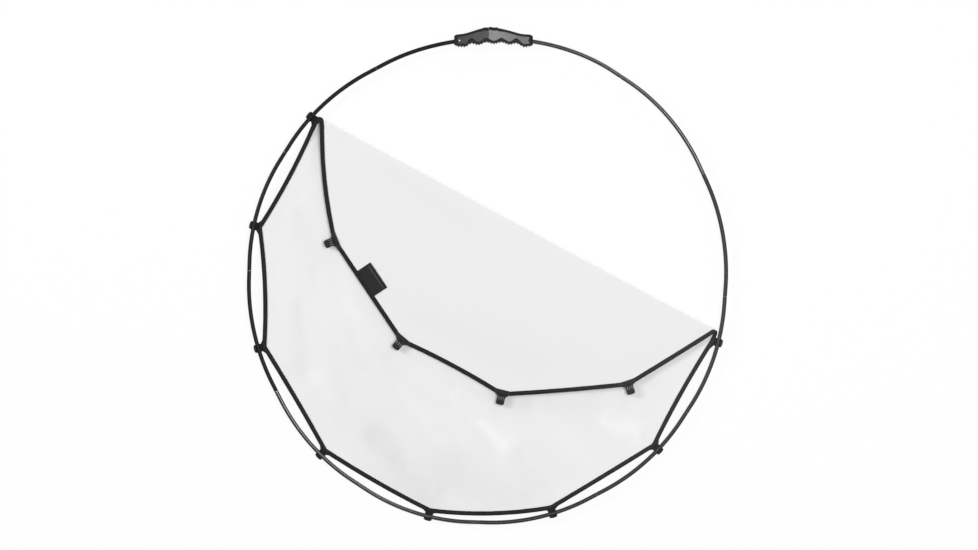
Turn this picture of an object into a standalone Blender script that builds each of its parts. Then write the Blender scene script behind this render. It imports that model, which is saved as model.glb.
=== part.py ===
"""Collapsible reflector disc: a shock-corded hoop of curved tubes that meets in a two-part hand grip, with a
white fabric panel clipped on from behind and nearly half of it folded over the front.

Metres, +Z up. The disc lies flat with the grip towards +Y. The outline is drawn in hoop coordinates, with the
hoop's centre at the origin, and the root empty carries it to the part's own frame.
"""

import math

import bmesh
import bpy
from mathutils import Matrix, Vector

UP = Vector((0, 0, 1))

# Hoop: round when free, and pulled out of round by the half-fitted panel.
HOOP_RADIUS = 0.4065
HOOP_STRAIN = ((2, 0.0085, 74.0), (3, 0.0035, 43.0), (4, 0.0027, -28.0))  # lobes, share of radius, degrees
SECTIONS = 12
RIGHT_ARMS = 3  # sections from the hoop's middle joint on the right to the grip, each on a joint of its own
SECTION_PITCH = 360 / SECTIONS
FIRST_JOINT_ANGLE = 117.75
JOINT_LEAN = 1.75  # degrees by which the joints on the right are drawn towards the panel
TUBE_RADIUS = 0.0035
TUBE_WALL = 0.00075
TUBE_SIDES = 10
TUBE_BENDS = 6
JOINT_GAP = 0.0003
JOINT_INSET = 0.0009
FERRULE_STRAIGHT = 0.002  # how far beyond its ferrule or socket a tube stays straight
SOCKET_STRAIGHT = 0.003

# Ferrules join the tubes, and an elastic cord runs through all of them.
FERRULE_PLAY = 0.0003
FERRULE_ENGAGEMENT = 0.013
FERRULE_WALL = 0.0008
CORD_RADIUS = 0.0011
ANCHOR_LENGTH = 0.008

# Hand grip, in its own frame: s along the grip from the seam, v away from the hoop's centre, z through it.
SEAM_ANGLE = 89.8
GRIP_LEFT_LENGTH = 0.0584
GRIP_RIGHT_LENGTH = 0.0746
GRIP_HALF_DEPTH = 0.011
GRIP_END_TAPER = 0.002
GRIP_EDGE_RADIUS = 0.0045
GRIP_EDGE_FACET = 0.3  # share of the edge's radius left at its middle facet
GRIP_END_ROUND = 0.008
GRIP_END_FULLNESS = 0.66
GRIP_SHOULDER = 0.0064
GRIP_CROWN = 0.012
CROWN_PLACE = 0.003
CROWN_HALF_WIDTH = 0.056
THUMB_RIB_HEIGHT = 0.0009
THUMB_RIB_PITCH = 0.0105
THUMB_RIB_SPAN = 0.018
FINGER_PITCH = 0.0253
FINGER_PLACE = 0.0089
FINGER_PEAK = -0.009
FINGER_VALLEY = -0.004
FINGER_PEAK_DROP = 0.006
FINGER_VALLEY_DROP = 0.0018
FINGER_ROW_OFFSET = 0.003  # the row's middle, from the peak nearest to it
OUTER_FINGER = 0.0505  # how far the outermost fingers lie from the middle of the row
GRIP_STEP = 0.0024
SOCKET_DEPTH = 0.022
SOCKET_PLAY = 0.0003
SOCKET_WALL = 0.0006  # least plastic between the socket and the finger strip
SEAM_GAP = 0.0009

# Ribbed rubber strip set into the finger side of each half.
STRIP_HALF_WIDTH = 0.006
STRIP_STAND_OFF = 0.0012
STRIP_DEPTH = 0.0018
STRIP_GAP = 0.0003
STRIP_CROWN = 0.6  # share of the strip's width that its ribs keep at their tops
STRIP_END_MARGIN = 0.007
RIB_PITCH = 0.0036
RIB_HEIGHT = 0.001

# The right half's tee drops out through the back of the left half's slot.
TEE_NECK_LENGTH = 0.0035
TEE_NECK_HALF_WIDTH = 0.0026
TEE_HEAD_LENGTH = 0.0045
TEE_HEAD_HALF_WIDTH = 0.0055
TEE_PLACE = 0.008
TEE_HEIGHT = 0.0095
TEE_SET_BACK = 0.001
TEE_PLAY_ALONG = 0.0011
TEE_PLAY_ACROSS = 0.0019
TEE_ROOT = 0.002  # how deep the tee is rooted in the right half

# Grub screws that hold the end tubes in the grip.
SCREW_RADIUS = 0.0016
SCREW_PLAY = 0.0003
SCREW_LEFT_MARGIN = 0.0089  # from the end of the grip
SCREW_RIGHT_MARGIN = 0.0064
SCREW_SINK = 0.0004
SCREW_SLOT_WIDTH = 0.0006
SCREW_SLOT_DEPTH = 0.0007
SCREW_SIDES = 10
CUTTER_MARGIN = 0.002  # how far a cutter runs past what it cuts

# Panel: heights are measured from the plane of the hoop's centreline.
FABRIC_THICKNESS = 0.0004
PANEL_HEIGHT = -0.002
FLAP_HEIGHT = 0.0028
FOLD_START = (136.2, 0.0125)  # angle on the hoop, and how far inside it
FOLD_END = (347.4, 0.0103)
FOLD_TRIM = 0.007
FOLD_STEPS = 6
FOLD_GAP = 0.0003
FLAP_SET_BACK = 0.0019
FLAP_END_INSET = 0.003

# Elastic binding: a band folded over the fabric's edge.
BINDING_WIDTH = 0.0065
BINDING_THICKNESS = 0.002
BINDING_WALL = 0.0005
BINDING_BACK = 0.0009
FABRIC_REACH = 0.0047
SPAN_STEPS = 4

# Clips: hooks that take the tube from behind, each hanging from the binding by a sewn wing and its loop.
CLIP_FIRST_ANGLE = 137.3
CLIP_PITCH = 29.64
FITTED_CLIPS = 8
CLIP_WIDTH = 0.0138
CLIP_PLAY = 0.0005
CLIP_BASE = 0.0016
CLIP_HOOK_WALL = 0.0018
CLIP_HOOK_RISE = 0.0022
CLIP_INNER_WALL = 0.0014
CLIP_INNER_RISE = 0.0012
CLIP_THUMB_REACH = 0.0095
CORNER_INSET = 0.010
BAR_INSET = 0.0021  # how far inside the binding's centre the bar lies
WINDOW_LENGTH = 0.0040
WINDOW_WIDTH = 0.0082
BAR_WIDTH = 0.0014
LOOP_PLAY = 0.0003
LOOP_THICKNESS = 0.0006
LOOP_WIDTH = 0.0070
LOOP_STEPS = 4
WING_LENGTH = 0.029
WING_INNER = 0.0045
WING_NECK_HALF_WIDTH = 0.0072
WING_SHOULDER_HALF_WIDTH = 0.0108
WING_GAP = 0.0005

# How far each stretch of binding bows outwards between its corners.
PANEL_BOWS = (-0.0045, -0.005, -0.0015, 0.003, 0.0075, 0.0005, -0.003)
# The flap's corners, from the left end of the fold to the right: the angle on the hoop that each is cut for,
# and how far inside the hoop it would stay, slack as it is. Then the bows between them.
FLAP_CORNERS = ((105.05, 0.0278), (74.0, 0.0322), (44.9, 0.0239), (12.8, 0.017))
FLAP_BOWS = (0.004, 0.0, -0.0035, 0.0015, 0.0005)

# Woven tab sewn behind the flap's edge, between the first two corners.
LABEL_LENGTH = 0.051
LABEL_REACH = 0.030
LABEL_THICKNESS = 0.0007
LABEL_PLACE = 0.44
STITCH_GAP = 0.0003


# ---------------------------------------------------------------- hoop

def hoop_radius(angle):
    strain = sum(share * math.cos(lobes * math.radians(angle - place)) for lobes, share, place in HOOP_STRAIN)
    return HOOP_RADIUS * (1 + strain)


def hoop_point(angle):
    turn = math.radians(angle)
    return hoop_radius(angle) * Vector((math.cos(turn), math.sin(turn), 0))


def hoop_tangent(angle):
    """Anticlockwise along the tube's centreline."""
    return (hoop_point(angle + 0.05) - hoop_point(angle - 0.05)).normalized()


def joint_angle(number):
    """Joint 0 ends the left arm, and the others follow anticlockwise."""
    even = FIRST_JOINT_ANGLE + number * SECTION_PITCH
    return even - JOINT_LEAN * max(0.0, math.cos(math.radians(even)))


def joint_point(number):
    """The tubes leave a joint straight, so it lies a little inside the round."""
    place = hoop_point(joint_angle(number))
    return place - place.normalized() * JOINT_INSET


def across(direction):
    """In the hoop's plane, to the right of a direction: outwards for one that runs anticlockwise."""
    return direction.cross(UP)


def mouth_angle(reach):
    """Where the hoop enters the grip, a reach to the left (positive) or the right of the seam."""
    return SEAM_ANGLE + math.degrees(math.asin(reach / hoop_radius(SEAM_ANGLE)))


LEFT_MOUTH = mouth_angle(GRIP_LEFT_LENGTH)
RIGHT_MOUTH = mouth_angle(-GRIP_RIGHT_LENGTH)


def tube_path(start, start_way, start_straight, end, end_way, end_straight):
    """Straight where a ferrule or the grip holds the tube, and bent evenly between."""
    first = start + start_way * start_straight
    last = end - end_way * end_straight
    span = (last - first).length
    path = [start]
    for step in range(TUBE_BENDS + 1):
        t = step / TUBE_BENDS
        path.append(
            first * (2 * t**3 - 3 * t**2 + 1)
            + start_way * span * (t**3 - 2 * t**2 + t)
            + last * (3 * t**2 - 2 * t**3)
            + end_way * span * (t**3 - t**2)
        )
    return path + [end]


def section_path(number):
    """Centreline of the tube that ends at joint number, or of the two that end in the grip."""
    straight, socket = FERRULE_ENGAGEMENT + FERRULE_STRAIGHT, SOCKET_DEPTH + SOCKET_STRAIGHT
    if number == 0:
        way = hoop_tangent(LEFT_MOUTH)
        start, start_straight = hoop_point(LEFT_MOUTH) - way * SOCKET_DEPTH, socket
    else:
        way = hoop_tangent(joint_angle(number - 1))
        start, start_straight = joint_point(number - 1) + way * JOINT_GAP / 2, straight
    if number == SECTIONS - 1:
        end_way = hoop_tangent(RIGHT_MOUTH)
        end, end_straight = hoop_point(RIGHT_MOUTH) + end_way * SOCKET_DEPTH, socket
    else:
        end_way = hoop_tangent(joint_angle(number))
        end, end_straight = joint_point(number) - end_way * JOINT_GAP / 2, straight
    return tube_path(start, way, start_straight, end, end_way, end_straight)


# ---------------------------------------------------------------- scene helpers

def clear_scene():
    for obj in list(bpy.data.objects):
        bpy.data.objects.remove(obj, do_unlink=True)


def make_material(name, colour, roughness, metallic=0.0):
    material = bpy.data.materials.new(name)
    material.use_nodes = True
    shader = material.node_tree.nodes["Principled BSDF"]
    shader.inputs["Base Color"].default_value = (*colour, 1)
    shader.inputs["Roughness"].default_value = roughness
    shader.inputs["Metallic"].default_value = metallic
    material.diffuse_color = (*colour, 1)
    return material


def make_body(name, place, parent=None):
    """An empty on a body's joint. Its place is in hoop coordinates."""
    body = bpy.data.objects.new(name, None)
    body.empty_display_size = 0.02
    body["place"] = tuple(place)
    body.parent = parent
    body.location = Vector(place) - Vector(parent["place"]) if parent else ROOT_PLACE
    bpy.context.scene.collection.objects.link(body)
    return body


def add_piece(name, mesh, material, body, smooth_angle=40):
    """Links a piece drawn in hoop coordinates, with its origin on its body's joint."""
    bmesh.ops.transform(mesh, matrix=Matrix.Translation(-Vector(body["place"])), verts=mesh.verts)
    data = bpy.data.meshes.new(name)
    mesh.to_mesh(data)
    mesh.free()
    data.materials.append(material)
    data.shade_smooth()
    data.set_sharp_from_angle(angle=math.radians(smooth_angle))
    piece = bpy.data.objects.new(name, data)
    piece.parent = body
    bpy.context.scene.collection.objects.link(piece)
    return piece


def boolean(piece, operation, mesh, name, body):
    """Cuts a piece with a shape, or joins the shape to it. The shape stays as a hidden helper."""
    tool = add_piece(name, mesh, piece.data.materials[0], body)
    tool.hide_render = True
    tool.display_type = "WIRE"
    modifier = piece.modifiers.new(name, "BOOLEAN")
    modifier.operation = operation
    modifier.object = tool


# ---------------------------------------------------------------- shape helpers

def skin(rings, closed=False):
    """A solid through rings of points. Closed, the last ring runs on into the first, as on a bored tube."""
    mesh = bmesh.new()
    rows = [[mesh.verts.new(point) for point in ring] for ring in rings]
    following = rows[1:] + rows[:1] if closed else rows[1:]
    for row, after in zip(rows, following):
        for i in range(len(row)):
            j = (i + 1) % len(row)
            mesh.faces.new((row[i], row[j], after[j], after[i]))
    if not closed:
        mesh.faces.new(rows[0])
        mesh.faces.new(rows[-1])
    bmesh.ops.recalc_face_normals(mesh, faces=mesh.faces)
    return mesh


def path_ways(path):
    """Unit direction at each point of a path, and how much a mitre there widens its section."""
    steps = [(b - a).normalized() for a, b in zip(path, path[1:])]
    ways, mitres = [steps[0]], [1.0]
    for before, after in zip(steps, steps[1:]):
        way = (before + after).normalized()
        ways.append(way)
        mitres.append(1 / way.dot(before))
    return ways + [steps[-1]], mitres + [1.0]


def circle_rings(path, radius, sides=TUBE_SIDES):
    rings = []
    for point, way in zip(path, path_ways(path)[0]):
        side = across(way)
        turns = [math.tau * (i + 0.5) / sides for i in range(sides)]
        rings.append([point + radius * (math.cos(turn) * side + math.sin(turn) * UP) for turn in turns])
    return rings


def rod(path, radius, sides=TUBE_SIDES):
    return skin(circle_rings(path, radius, sides))


def bored_rod(path, radius, bore):
    return skin(circle_rings(path, radius) + circle_rings(path, bore)[::-1], closed=True)


def sweep(path, profile):
    """A solid of a profile of (outward, up) points along a flat path that runs anticlockwise."""
    rings = []
    for point, way, mitre in zip(path, *path_ways(path)):
        rings.append([point + across(way) * mitre * out + UP * up for out, up in profile])
    return skin(rings)


def prism(outline, low, high):
    """A flat outline of points in the hoop's plane, raised from one height to another."""
    return skin([[point + UP * low for point in outline], [point + UP * high for point in outline]])


def frame_outline(origin, along, out, points):
    """Points given as (along, outward) of a local frame, in hoop coordinates."""
    return [origin + along * a + out * o for a, o in points]


def side_prism(origin, along, out, profile, half_width):
    """A profile of (outward, up) points, extruded both ways along the tube."""
    ends = [origin - along * half_width, origin + along * half_width]
    return skin([[end + out * o + UP * up for o, up in profile] for end in ends])


# ---------------------------------------------------------------- grip

GRIP_ORIGIN = hoop_point(SEAM_ANGLE)
GRIP_OUT = GRIP_ORIGIN.normalized()
GRIP_ALONG = across(GRIP_OUT)
FINGER_ROW_MIDDLE = FINGER_PLACE + FINGER_ROW_OFFSET


def grip_point(s, v, z):
    return GRIP_ORIGIN + GRIP_ALONG * s + GRIP_OUT * v + UP * z


def grip_end(s):
    """(mouth angle, distance from the end of the grip) of the half that s lies in."""
    if s < 0:
        return LEFT_MOUTH, GRIP_LEFT_LENGTH + s
    return RIGHT_MOUTH, GRIP_RIGHT_LENGTH - s


def socket_v(s):
    """How far outwards the end tube's axis runs at s."""
    angle = grip_end(s)[0]
    mouth = hoop_point(angle) - GRIP_ORIGIN
    way = hoop_tangent(angle)
    slope = way.dot(GRIP_OUT) / way.dot(GRIP_ALONG)
    return mouth.dot(GRIP_OUT) + (s - mouth.dot(GRIP_ALONG)) * slope


def grip_top(s):
    """The outer edge: low shoulders, a crown where the palm rests, and thumb ribs on the crown."""
    reach = min(1.0, abs(s - CROWN_PLACE) / CROWN_HALF_WIDTH)
    crown = GRIP_CROWN * (1 + math.cos(math.pi * reach)) / 2
    rib = 0.0
    if abs(s - CROWN_PLACE) < THUMB_RIB_SPAN:
        rib = THUMB_RIB_HEIGHT * max(0.0, math.cos(math.tau * (s - CROWN_PLACE) / THUMB_RIB_PITCH))
    return GRIP_SHOULDER + crown + rib


def socket_floor(s):
    """The highest the inner edge may run under a socket. Beyond the tube's end it climbs away."""
    floor = socket_v(s) - TUBE_RADIUS - SOCKET_PLAY - SOCKET_WALL - STRIP_DEPTH - STRIP_STAND_OFF
    return floor + max(0.0, grip_end(s)[1] - SOCKET_DEPTH - SOCKET_WALL)


def finger_line(s):
    """The inner edge: scallops for the fingers, deeper and wider at both ends of the row."""
    place = max(FINGER_ROW_MIDDLE - OUTER_FINGER, min(FINGER_ROW_MIDDLE + OUTER_FINGER, s))
    share = ((place - FINGER_ROW_MIDDLE) / OUTER_FINGER) ** 2
    peak = FINGER_PEAK - FINGER_PEAK_DROP * share
    valley = FINGER_VALLEY - FINGER_VALLEY_DROP * share
    swell = (1 + math.cos(math.tau * (place - FINGER_PLACE) / FINGER_PITCH)) / 2
    return min(socket_floor(s), valley + (peak - valley) * swell)


def grip_bottom(s):
    return finger_line(s) + STRIP_STAND_OFF


def grip_ring(s):
    """The grip's section at s, drawn in towards the end tube as the end rounds off."""
    length = GRIP_LEFT_LENGTH if s < 0 else GRIP_RIGHT_LENGTH
    depth = GRIP_HALF_DEPTH - GRIP_END_TAPER * (s / length) ** 2
    left = max(0.0, 1 - grip_end(s)[1] / GRIP_END_ROUND)
    draw = GRIP_END_FULLNESS + (1 - GRIP_END_FULLNESS) * math.sqrt(1 - left**2)
    top, bottom, r = grip_top(s), grip_bottom(s), GRIP_EDGE_RADIUS
    facet = r * GRIP_EDGE_FACET
    side = [
        (depth - r, bottom),
        (depth - facet, bottom + facet),
        (depth, bottom + r),
        (depth, top - r),
        (depth - facet, top - facet),
        (depth - r, top),
    ]
    axis = socket_v(s)
    ring = side + [(-z, v) for z, v in reversed(side)]
    return [grip_point(s, axis + (v - axis) * draw, z * draw) for z, v in ring]


def stations(start, end, step):
    count = max(2, math.ceil(abs(end - start) / step))
    return [start + (end - start) * i / count for i in range(count + 1)]


def strip_profile(s, gap, outer):
    inner, shoulder = grip_bottom(s) + STRIP_DEPTH - gap, grip_bottom(s)
    half = STRIP_HALF_WIDTH - gap
    return [
        grip_point(s, inner, half),
        grip_point(s, inner, -half),
        grip_point(s, shoulder, -half),
        grip_point(s, outer, -half * STRIP_CROWN),
        grip_point(s, outer, half * STRIP_CROWN),
        grip_point(s, shoulder, half),
    ]


def finger_strip(start, end):
    """Rubber strip whose ribs cross the finger side."""
    rings = []
    for i, s in enumerate(stations(start, end, RIB_PITCH / 2)):
        rings.append(strip_profile(s, STRIP_GAP, finger_line(s) + RIB_HEIGHT * (i % 2)))
    return skin(rings)


def strip_groove(start, end):
    rings = []
    for s in stations(start, end, RIB_PITCH / 2):
        inner, outer = grip_bottom(s) + STRIP_DEPTH, finger_line(s) - GRIP_EDGE_RADIUS
        half = STRIP_HALF_WIDTH
        rings.append([grip_point(s, v, z) for v, z in
                      ((inner, half), (inner, -half), (outer, -half), (outer, half))])
    return skin(rings)


def tee_outline(play_along, play_across, root):
    """The coupling's tee in plan, from its root on the right half to its head in the left."""
    neck = TEE_NECK_HALF_WIDTH + play_across
    head = TEE_HEAD_HALF_WIDTH + play_across
    shoulder = -(TEE_NECK_LENGTH - play_along)
    end = -(TEE_NECK_LENGTH + TEE_HEAD_LENGTH + play_along)
    plan = [(root, -neck), (root, neck), (shoulder, neck), (shoulder, head),
            (end, head), (end, -head), (shoulder, -head), (shoulder, -neck)]
    return frame_outline(grip_point(0, TEE_PLACE, 0), GRIP_ALONG, GRIP_OUT, plan)


def grip_half(side, start, end, mouth, screw_margin, body):
    """One half, from its end (start) to its face at the seam (end), with its finger strip and its screw."""
    core = add_piece(f"grip_{side}_half", skin([grip_ring(s) for s in stations(start, end, GRIP_STEP)]),
                     GRIP_PLASTIC, body)
    inward = 1 if start < end else -1
    strip_end = start + inward * STRIP_END_MARGIN
    groove = strip_groove(strip_end, end + inward * CUTTER_MARGIN)
    boolean(core, "DIFFERENCE", groove, f"groove_cutter_{side}", body)
    way = -inward * hoop_tangent(mouth)
    bore = [hoop_point(mouth) - way * GRIP_END_ROUND, hoop_point(mouth) + way * (SOCKET_DEPTH + JOINT_GAP)]
    boolean(core, "DIFFERENCE", rod(bore, TUBE_RADIUS + SOCKET_PLAY), f"socket_cutter_{side}", body)
    screw = start + inward * screw_margin
    place = grip_point(screw, socket_v(screw), 0)
    screw_hole = turned(place, SCREW_RADIUS + SCREW_PLAY, TUBE_RADIUS / 2, GRIP_HALF_DEPTH + CUTTER_MARGIN)
    boolean(core, "DIFFERENCE", screw_hole, f"screw_cutter_{side}", body)
    strip = finger_strip(strip_end + inward * STRIP_GAP, end - inward * STRIP_GAP)
    add_piece(f"finger_strip_{side}", strip, GRIP_RUBBER, body)
    add_screw(f"grub_screw_{side}", place, body)
    return core


def turned(place, radius, low, high):
    """A small round pin or hole through the grip's face."""
    turns = [math.tau * i / SCREW_SIDES for i in range(SCREW_SIDES)]
    plan = [(radius * math.cos(turn), radius * math.sin(turn)) for turn in turns]
    return prism(frame_outline(place, GRIP_ALONG, GRIP_OUT, plan), low, high)


def add_screw(name, place, body):
    """Slotted grub screw, from just over the tube to just under the grip's face."""
    top = GRIP_HALF_DEPTH - GRIP_END_TAPER - SCREW_SINK
    screw = add_piece(name, turned(place, SCREW_RADIUS, TUBE_RADIUS + SCREW_PLAY, top), STEEL, body)
    half, reach = SCREW_SLOT_WIDTH / 2, SCREW_RADIUS + CUTTER_MARGIN
    plan = [(-reach, -half), (reach, -half), (reach, half), (-reach, half)]
    outline = frame_outline(place, GRIP_ALONG, GRIP_OUT, plan)
    slot = prism(outline, top - SCREW_SLOT_DEPTH, top + CUTTER_MARGIN)
    boolean(screw, "DIFFERENCE", slot, f"{name}_slot_cutter", body)


# ---------------------------------------------------------------- frame

def add_tube(number, body):
    tube = bored_rod(section_path(number), TUBE_RADIUS, TUBE_RADIUS - TUBE_WALL)
    add_piece(f"tube_{number + 1:02d}", tube, TUBE_BLACK, body)


def add_ferrule(number, body):
    """Straight sleeve across joint number, fast in one tube and running in the other."""
    middle, way = joint_point(number), hoop_tangent(joint_angle(number))
    path = [middle - way * FERRULE_ENGAGEMENT, middle + way * FERRULE_ENGAGEMENT]
    radius = TUBE_RADIUS - TUBE_WALL - FERRULE_PLAY
    sleeve = bored_rod(path, radius, radius - FERRULE_WALL)
    add_piece(f"ferrule_{number + 1:02d}", sleeve, FERRULE_METAL, body)


def add_cord(name, path, body):
    """One body's stretch of the elastic cord, as a bevelled curve."""
    curve = bpy.data.curves.new(name, "CURVE")
    curve.dimensions = "3D"
    curve.bevel_depth = CORD_RADIUS
    curve.bevel_resolution = 2
    curve.use_fill_caps = True
    spline = curve.splines.new("POLY")
    spline.points.add(len(path) - 1)
    for point, place in zip(spline.points, path):
        point.co = (*(place - Vector(body["place"])), 1)
    curve.materials.append(CORD_BLACK)
    cord = bpy.data.objects.new(name, curve)
    cord.parent = body
    bpy.context.scene.collection.objects.link(cord)


def cord_path(first, last):
    """Through the tubes from one section to another, short of the cord's anchors in the grip."""
    path = []
    for number in range(first, last + 1):
        path += section_path(number)[1:-1] if path else section_path(number)[:-1]
    path.append(section_path(last)[-1])
    clear = ANCHOR_LENGTH + JOINT_GAP
    if first == 0:
        path[0] = path[0] + (path[1] - path[0]).normalized() * clear
    if last == SECTIONS - 1:
        path[-1] = path[-1] + (path[-2] - path[-1]).normalized() * clear
    return path


def add_anchor(side, end, way, body):
    """The plug that the cord is knotted to, inside the end of the tube."""
    path = [end, end + way * ANCHOR_LENGTH]
    add_piece(f"cord_anchor_{side}", rod(path, TUBE_RADIUS - TUBE_WALL - FERRULE_PLAY), ANCHOR_PLASTIC, body)


def add_frame(base, left, right):
    last_base = SECTIONS - 1 - len(right)
    for number in range(1, last_base + 1):
        add_tube(number, base)
    for number in range(last_base + 1):
        add_ferrule(number, base)
    add_cord("cord_base", cord_path(1, last_base), base)

    add_tube(0, left)
    path = section_path(0)
    add_cord("cord_left", cord_path(0, 0), left)
    add_anchor("left", path[0], (path[1] - path[0]).normalized(), left)

    for step, body in enumerate(right, start=1):
        number = last_base + step
        add_tube(number, body)
        add_cord(f"cord_right_{step}", cord_path(number, number), body)
        if number < SECTIONS - 1:
            add_ferrule(number, body)
    path = section_path(SECTIONS - 1)
    add_anchor("right", path[-1], (path[-2] - path[-1]).normalized(), right[-1])


def add_grip(left, right):
    """The two halves of the grip, and the tee on the right one that hangs in the left one's slot."""
    seam = SEAM_GAP / 2
    left_half = grip_half("left", -GRIP_LEFT_LENGTH, -seam, LEFT_MOUTH, SCREW_LEFT_MARGIN, left)
    right_half = grip_half("right", GRIP_RIGHT_LENGTH, seam, RIGHT_MOUTH, SCREW_RIGHT_MARGIN, right)
    low = -GRIP_HALF_DEPTH + TEE_SET_BACK
    high = low + TEE_HEIGHT
    slot = tee_outline(TEE_PLAY_ALONG, TEE_PLAY_ACROSS, CUTTER_MARGIN)
    slot_cutter = prism(slot, -GRIP_HALF_DEPTH - CUTTER_MARGIN, high + TEE_PLAY_ALONG)
    boolean(left_half, "DIFFERENCE", slot_cutter, "tee_slot_cutter", left)
    boolean(right_half, "UNION", prism(tee_outline(0, 0, seam + TEE_ROOT), low, high), "tee", right)


# ---------------------------------------------------------------- panel

def clip_frame(number):
    """(tube centre, along, outward) of a fitted clip, where its ray meets the bent tube."""
    angle = math.radians(CLIP_FIRST_ANGLE + number * CLIP_PITCH)
    ray, turn = Vector((math.cos(angle), math.sin(angle), 0)), Vector((-math.sin(angle), math.cos(angle), 0))
    for section in range(SECTIONS):
        path = section_path(section)
        for a, b in zip(path, path[1:]):
            if a.dot(turn) < 0 <= b.dot(turn) and a.dot(ray) > 0:
                along = (b - a).normalized()
                return a - along * (a.dot(turn) / along.dot(turn)), along, across(along)
    raise ValueError("no tube at this clip's angle")


def bowed(corners, bows):
    """A path through corners, each stretch bowed outwards, which is to its right: it runs anticlockwise."""
    path = [corners[0]]
    for a, b, bow in zip(corners, corners[1:], bows):
        out = across((b - a).normalized())
        for step in range(1, SPAN_STEPS + 1):
            t = step / SPAN_STEPS
            path.append(a.lerp(b, t) + out * bow * 4 * t * (1 - t))
    return path


def inside_hoop(angle, inset):
    place = hoop_point(angle)
    return place - place.normalized() * inset


FOLD_A = inside_hoop(*FOLD_START)
FOLD_B = inside_hoop(*FOLD_END)
FOLD_WAY = (FOLD_B - FOLD_A).normalized()
FOLD_IN = across(FOLD_WAY)
FOLD_HEIGHT = (PANEL_HEIGHT + FLAP_HEIGHT) / 2


def folded_over(point):
    """A point of the flat panel's other half, turned over the fold line."""
    return point - FOLD_IN * 2 * (point - FOLD_A).dot(FOLD_IN)


FLAP_POINTS = [folded_over(inside_hoop(angle, inset)) for angle, inset in FLAP_CORNERS]


def panel_path():
    """Centre of the fitted binding, from the left end of the fold round to its right end."""
    corners = []
    for number in range(FITTED_CLIPS):
        tube, _, out = clip_frame(number)
        corners.append(tube - out * CORNER_INSET)
    return bowed([FOLD_A] + corners + [FOLD_B], (0.0,) + PANEL_BOWS + (0.0,))


def flap_start(end):
    """The flap's binding starts clear of the fold, so that it can turn over it."""
    return end + FOLD_IN * (BINDING_WIDTH / 2 + FLAP_SET_BACK)


def flap_path():
    start, end = flap_start(FOLD_A), flap_start(FOLD_B)
    inset = FOLD_WAY * FLAP_END_INSET
    return bowed([start + inset, *FLAP_POINTS, end - inset], FLAP_BOWS)


def flap_corner_frame(number):
    """(corner, along, outward, half the bend) at one of the flap's corners."""
    path = flap_path()
    at = (number + 1) * SPAN_STEPS
    before, after = (path[at] - path[at - 1]).normalized(), (path[at + 1] - path[at]).normalized()
    along = (before + after).normalized()
    return path[at], along, across(along), before.angle(after) / 2


def fabric_edge(path):
    """The fabric's edge inside the binding's fold."""
    offset = FABRIC_REACH - BINDING_WIDTH / 2
    return [point + across(way) * mitre * offset for point, way, mitre in zip(path, *path_ways(path))]


def set_back_edge(path, set_back):
    """The fabric's edge, with both its ends moved to a distance from the fold line."""
    edge = fabric_edge(path)
    for index in (0, -1):
        edge[index] = edge[index] + FOLD_IN * (set_back - (edge[index] - FOLD_A).dot(FOLD_IN))
    return edge


def panel_fabric():
    """The fitted part of the white panel, up to the turn at the fold."""
    trims = [FOLD_B - FOLD_WAY * FOLD_TRIM, FOLD_A + FOLD_WAY * FOLD_TRIM]
    half = FABRIC_THICKNESS / 2
    outline = [point + FOLD_IN * FOLD_GAP for point in set_back_edge(panel_path(), 0) + trims]
    return prism(outline, PANEL_HEIGHT - half, PANEL_HEIGHT + half)


def fabric_fold():
    """The half round in which the fabric turns over at the fold, from under the panel to over the flap."""
    half, radius = FABRIC_THICKNESS / 2, (FLAP_HEIGHT - PANEL_HEIGHT) / 2
    turns = [math.pi * (i / FOLD_STEPS - 0.5) for i in range(FOLD_STEPS + 1)]
    profile = [((radius + half) * math.cos(turn), (radius + half) * math.sin(turn)) for turn in turns]
    profile += [((radius - half) * math.cos(turn), (radius - half) * math.sin(turn)) for turn in turns[::-1]]
    profile = [(out, FOLD_HEIGHT + up) for out, up in profile]
    length = (FOLD_B - FOLD_A).length
    return side_prism(FOLD_A.lerp(FOLD_B, 0.5), FOLD_WAY, -FOLD_IN, profile, length / 2 - FOLD_TRIM)


def flap_fabric():
    half = FABRIC_THICKNESS / 2
    return prism(set_back_edge(flap_path(), FLAP_SET_BACK), FLAP_HEIGHT - half, FLAP_HEIGHT + half)


def binding_profile(height):
    """A band folded over the fabric's edge, open towards the fabric."""
    out, back = BINDING_WIDTH / 2, BINDING_WIDTH / 2 - BINDING_BACK
    half, slot = BINDING_THICKNESS / 2, BINDING_THICKNESS / 2 - BINDING_WALL
    return [(-out, height - half), (out, height - half), (out, height + half), (-out, height + half),
            (-out, height + slot), (back, height + slot), (back, height - slot), (-out, height - slot)]


# Clips and wings are drawn as fitted. On the flap they are turned over about the fold's height.

def turned_over(height, folded):
    return 2 * FOLD_HEIGHT - height if folded else height


CHANNEL_HALF = TUBE_RADIUS + CLIP_PLAY
BASE_TOP = -CHANNEL_HALF
BASE_BOTTOM = BASE_TOP - CLIP_BASE
BAR_HEIGHT = BASE_TOP - CLIP_BASE / 2
BAR_PLACE = -CORNER_INSET - BAR_INSET
LOOP_INNER = math.hypot(CLIP_BASE / 2, BAR_WIDTH / 2) + LOOP_PLAY
WING_BOTTOM = BASE_TOP + WING_GAP
WING_TOP = PANEL_HEIGHT - BINDING_THICKNESS / 2 + BINDING_WALL / 2


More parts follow.
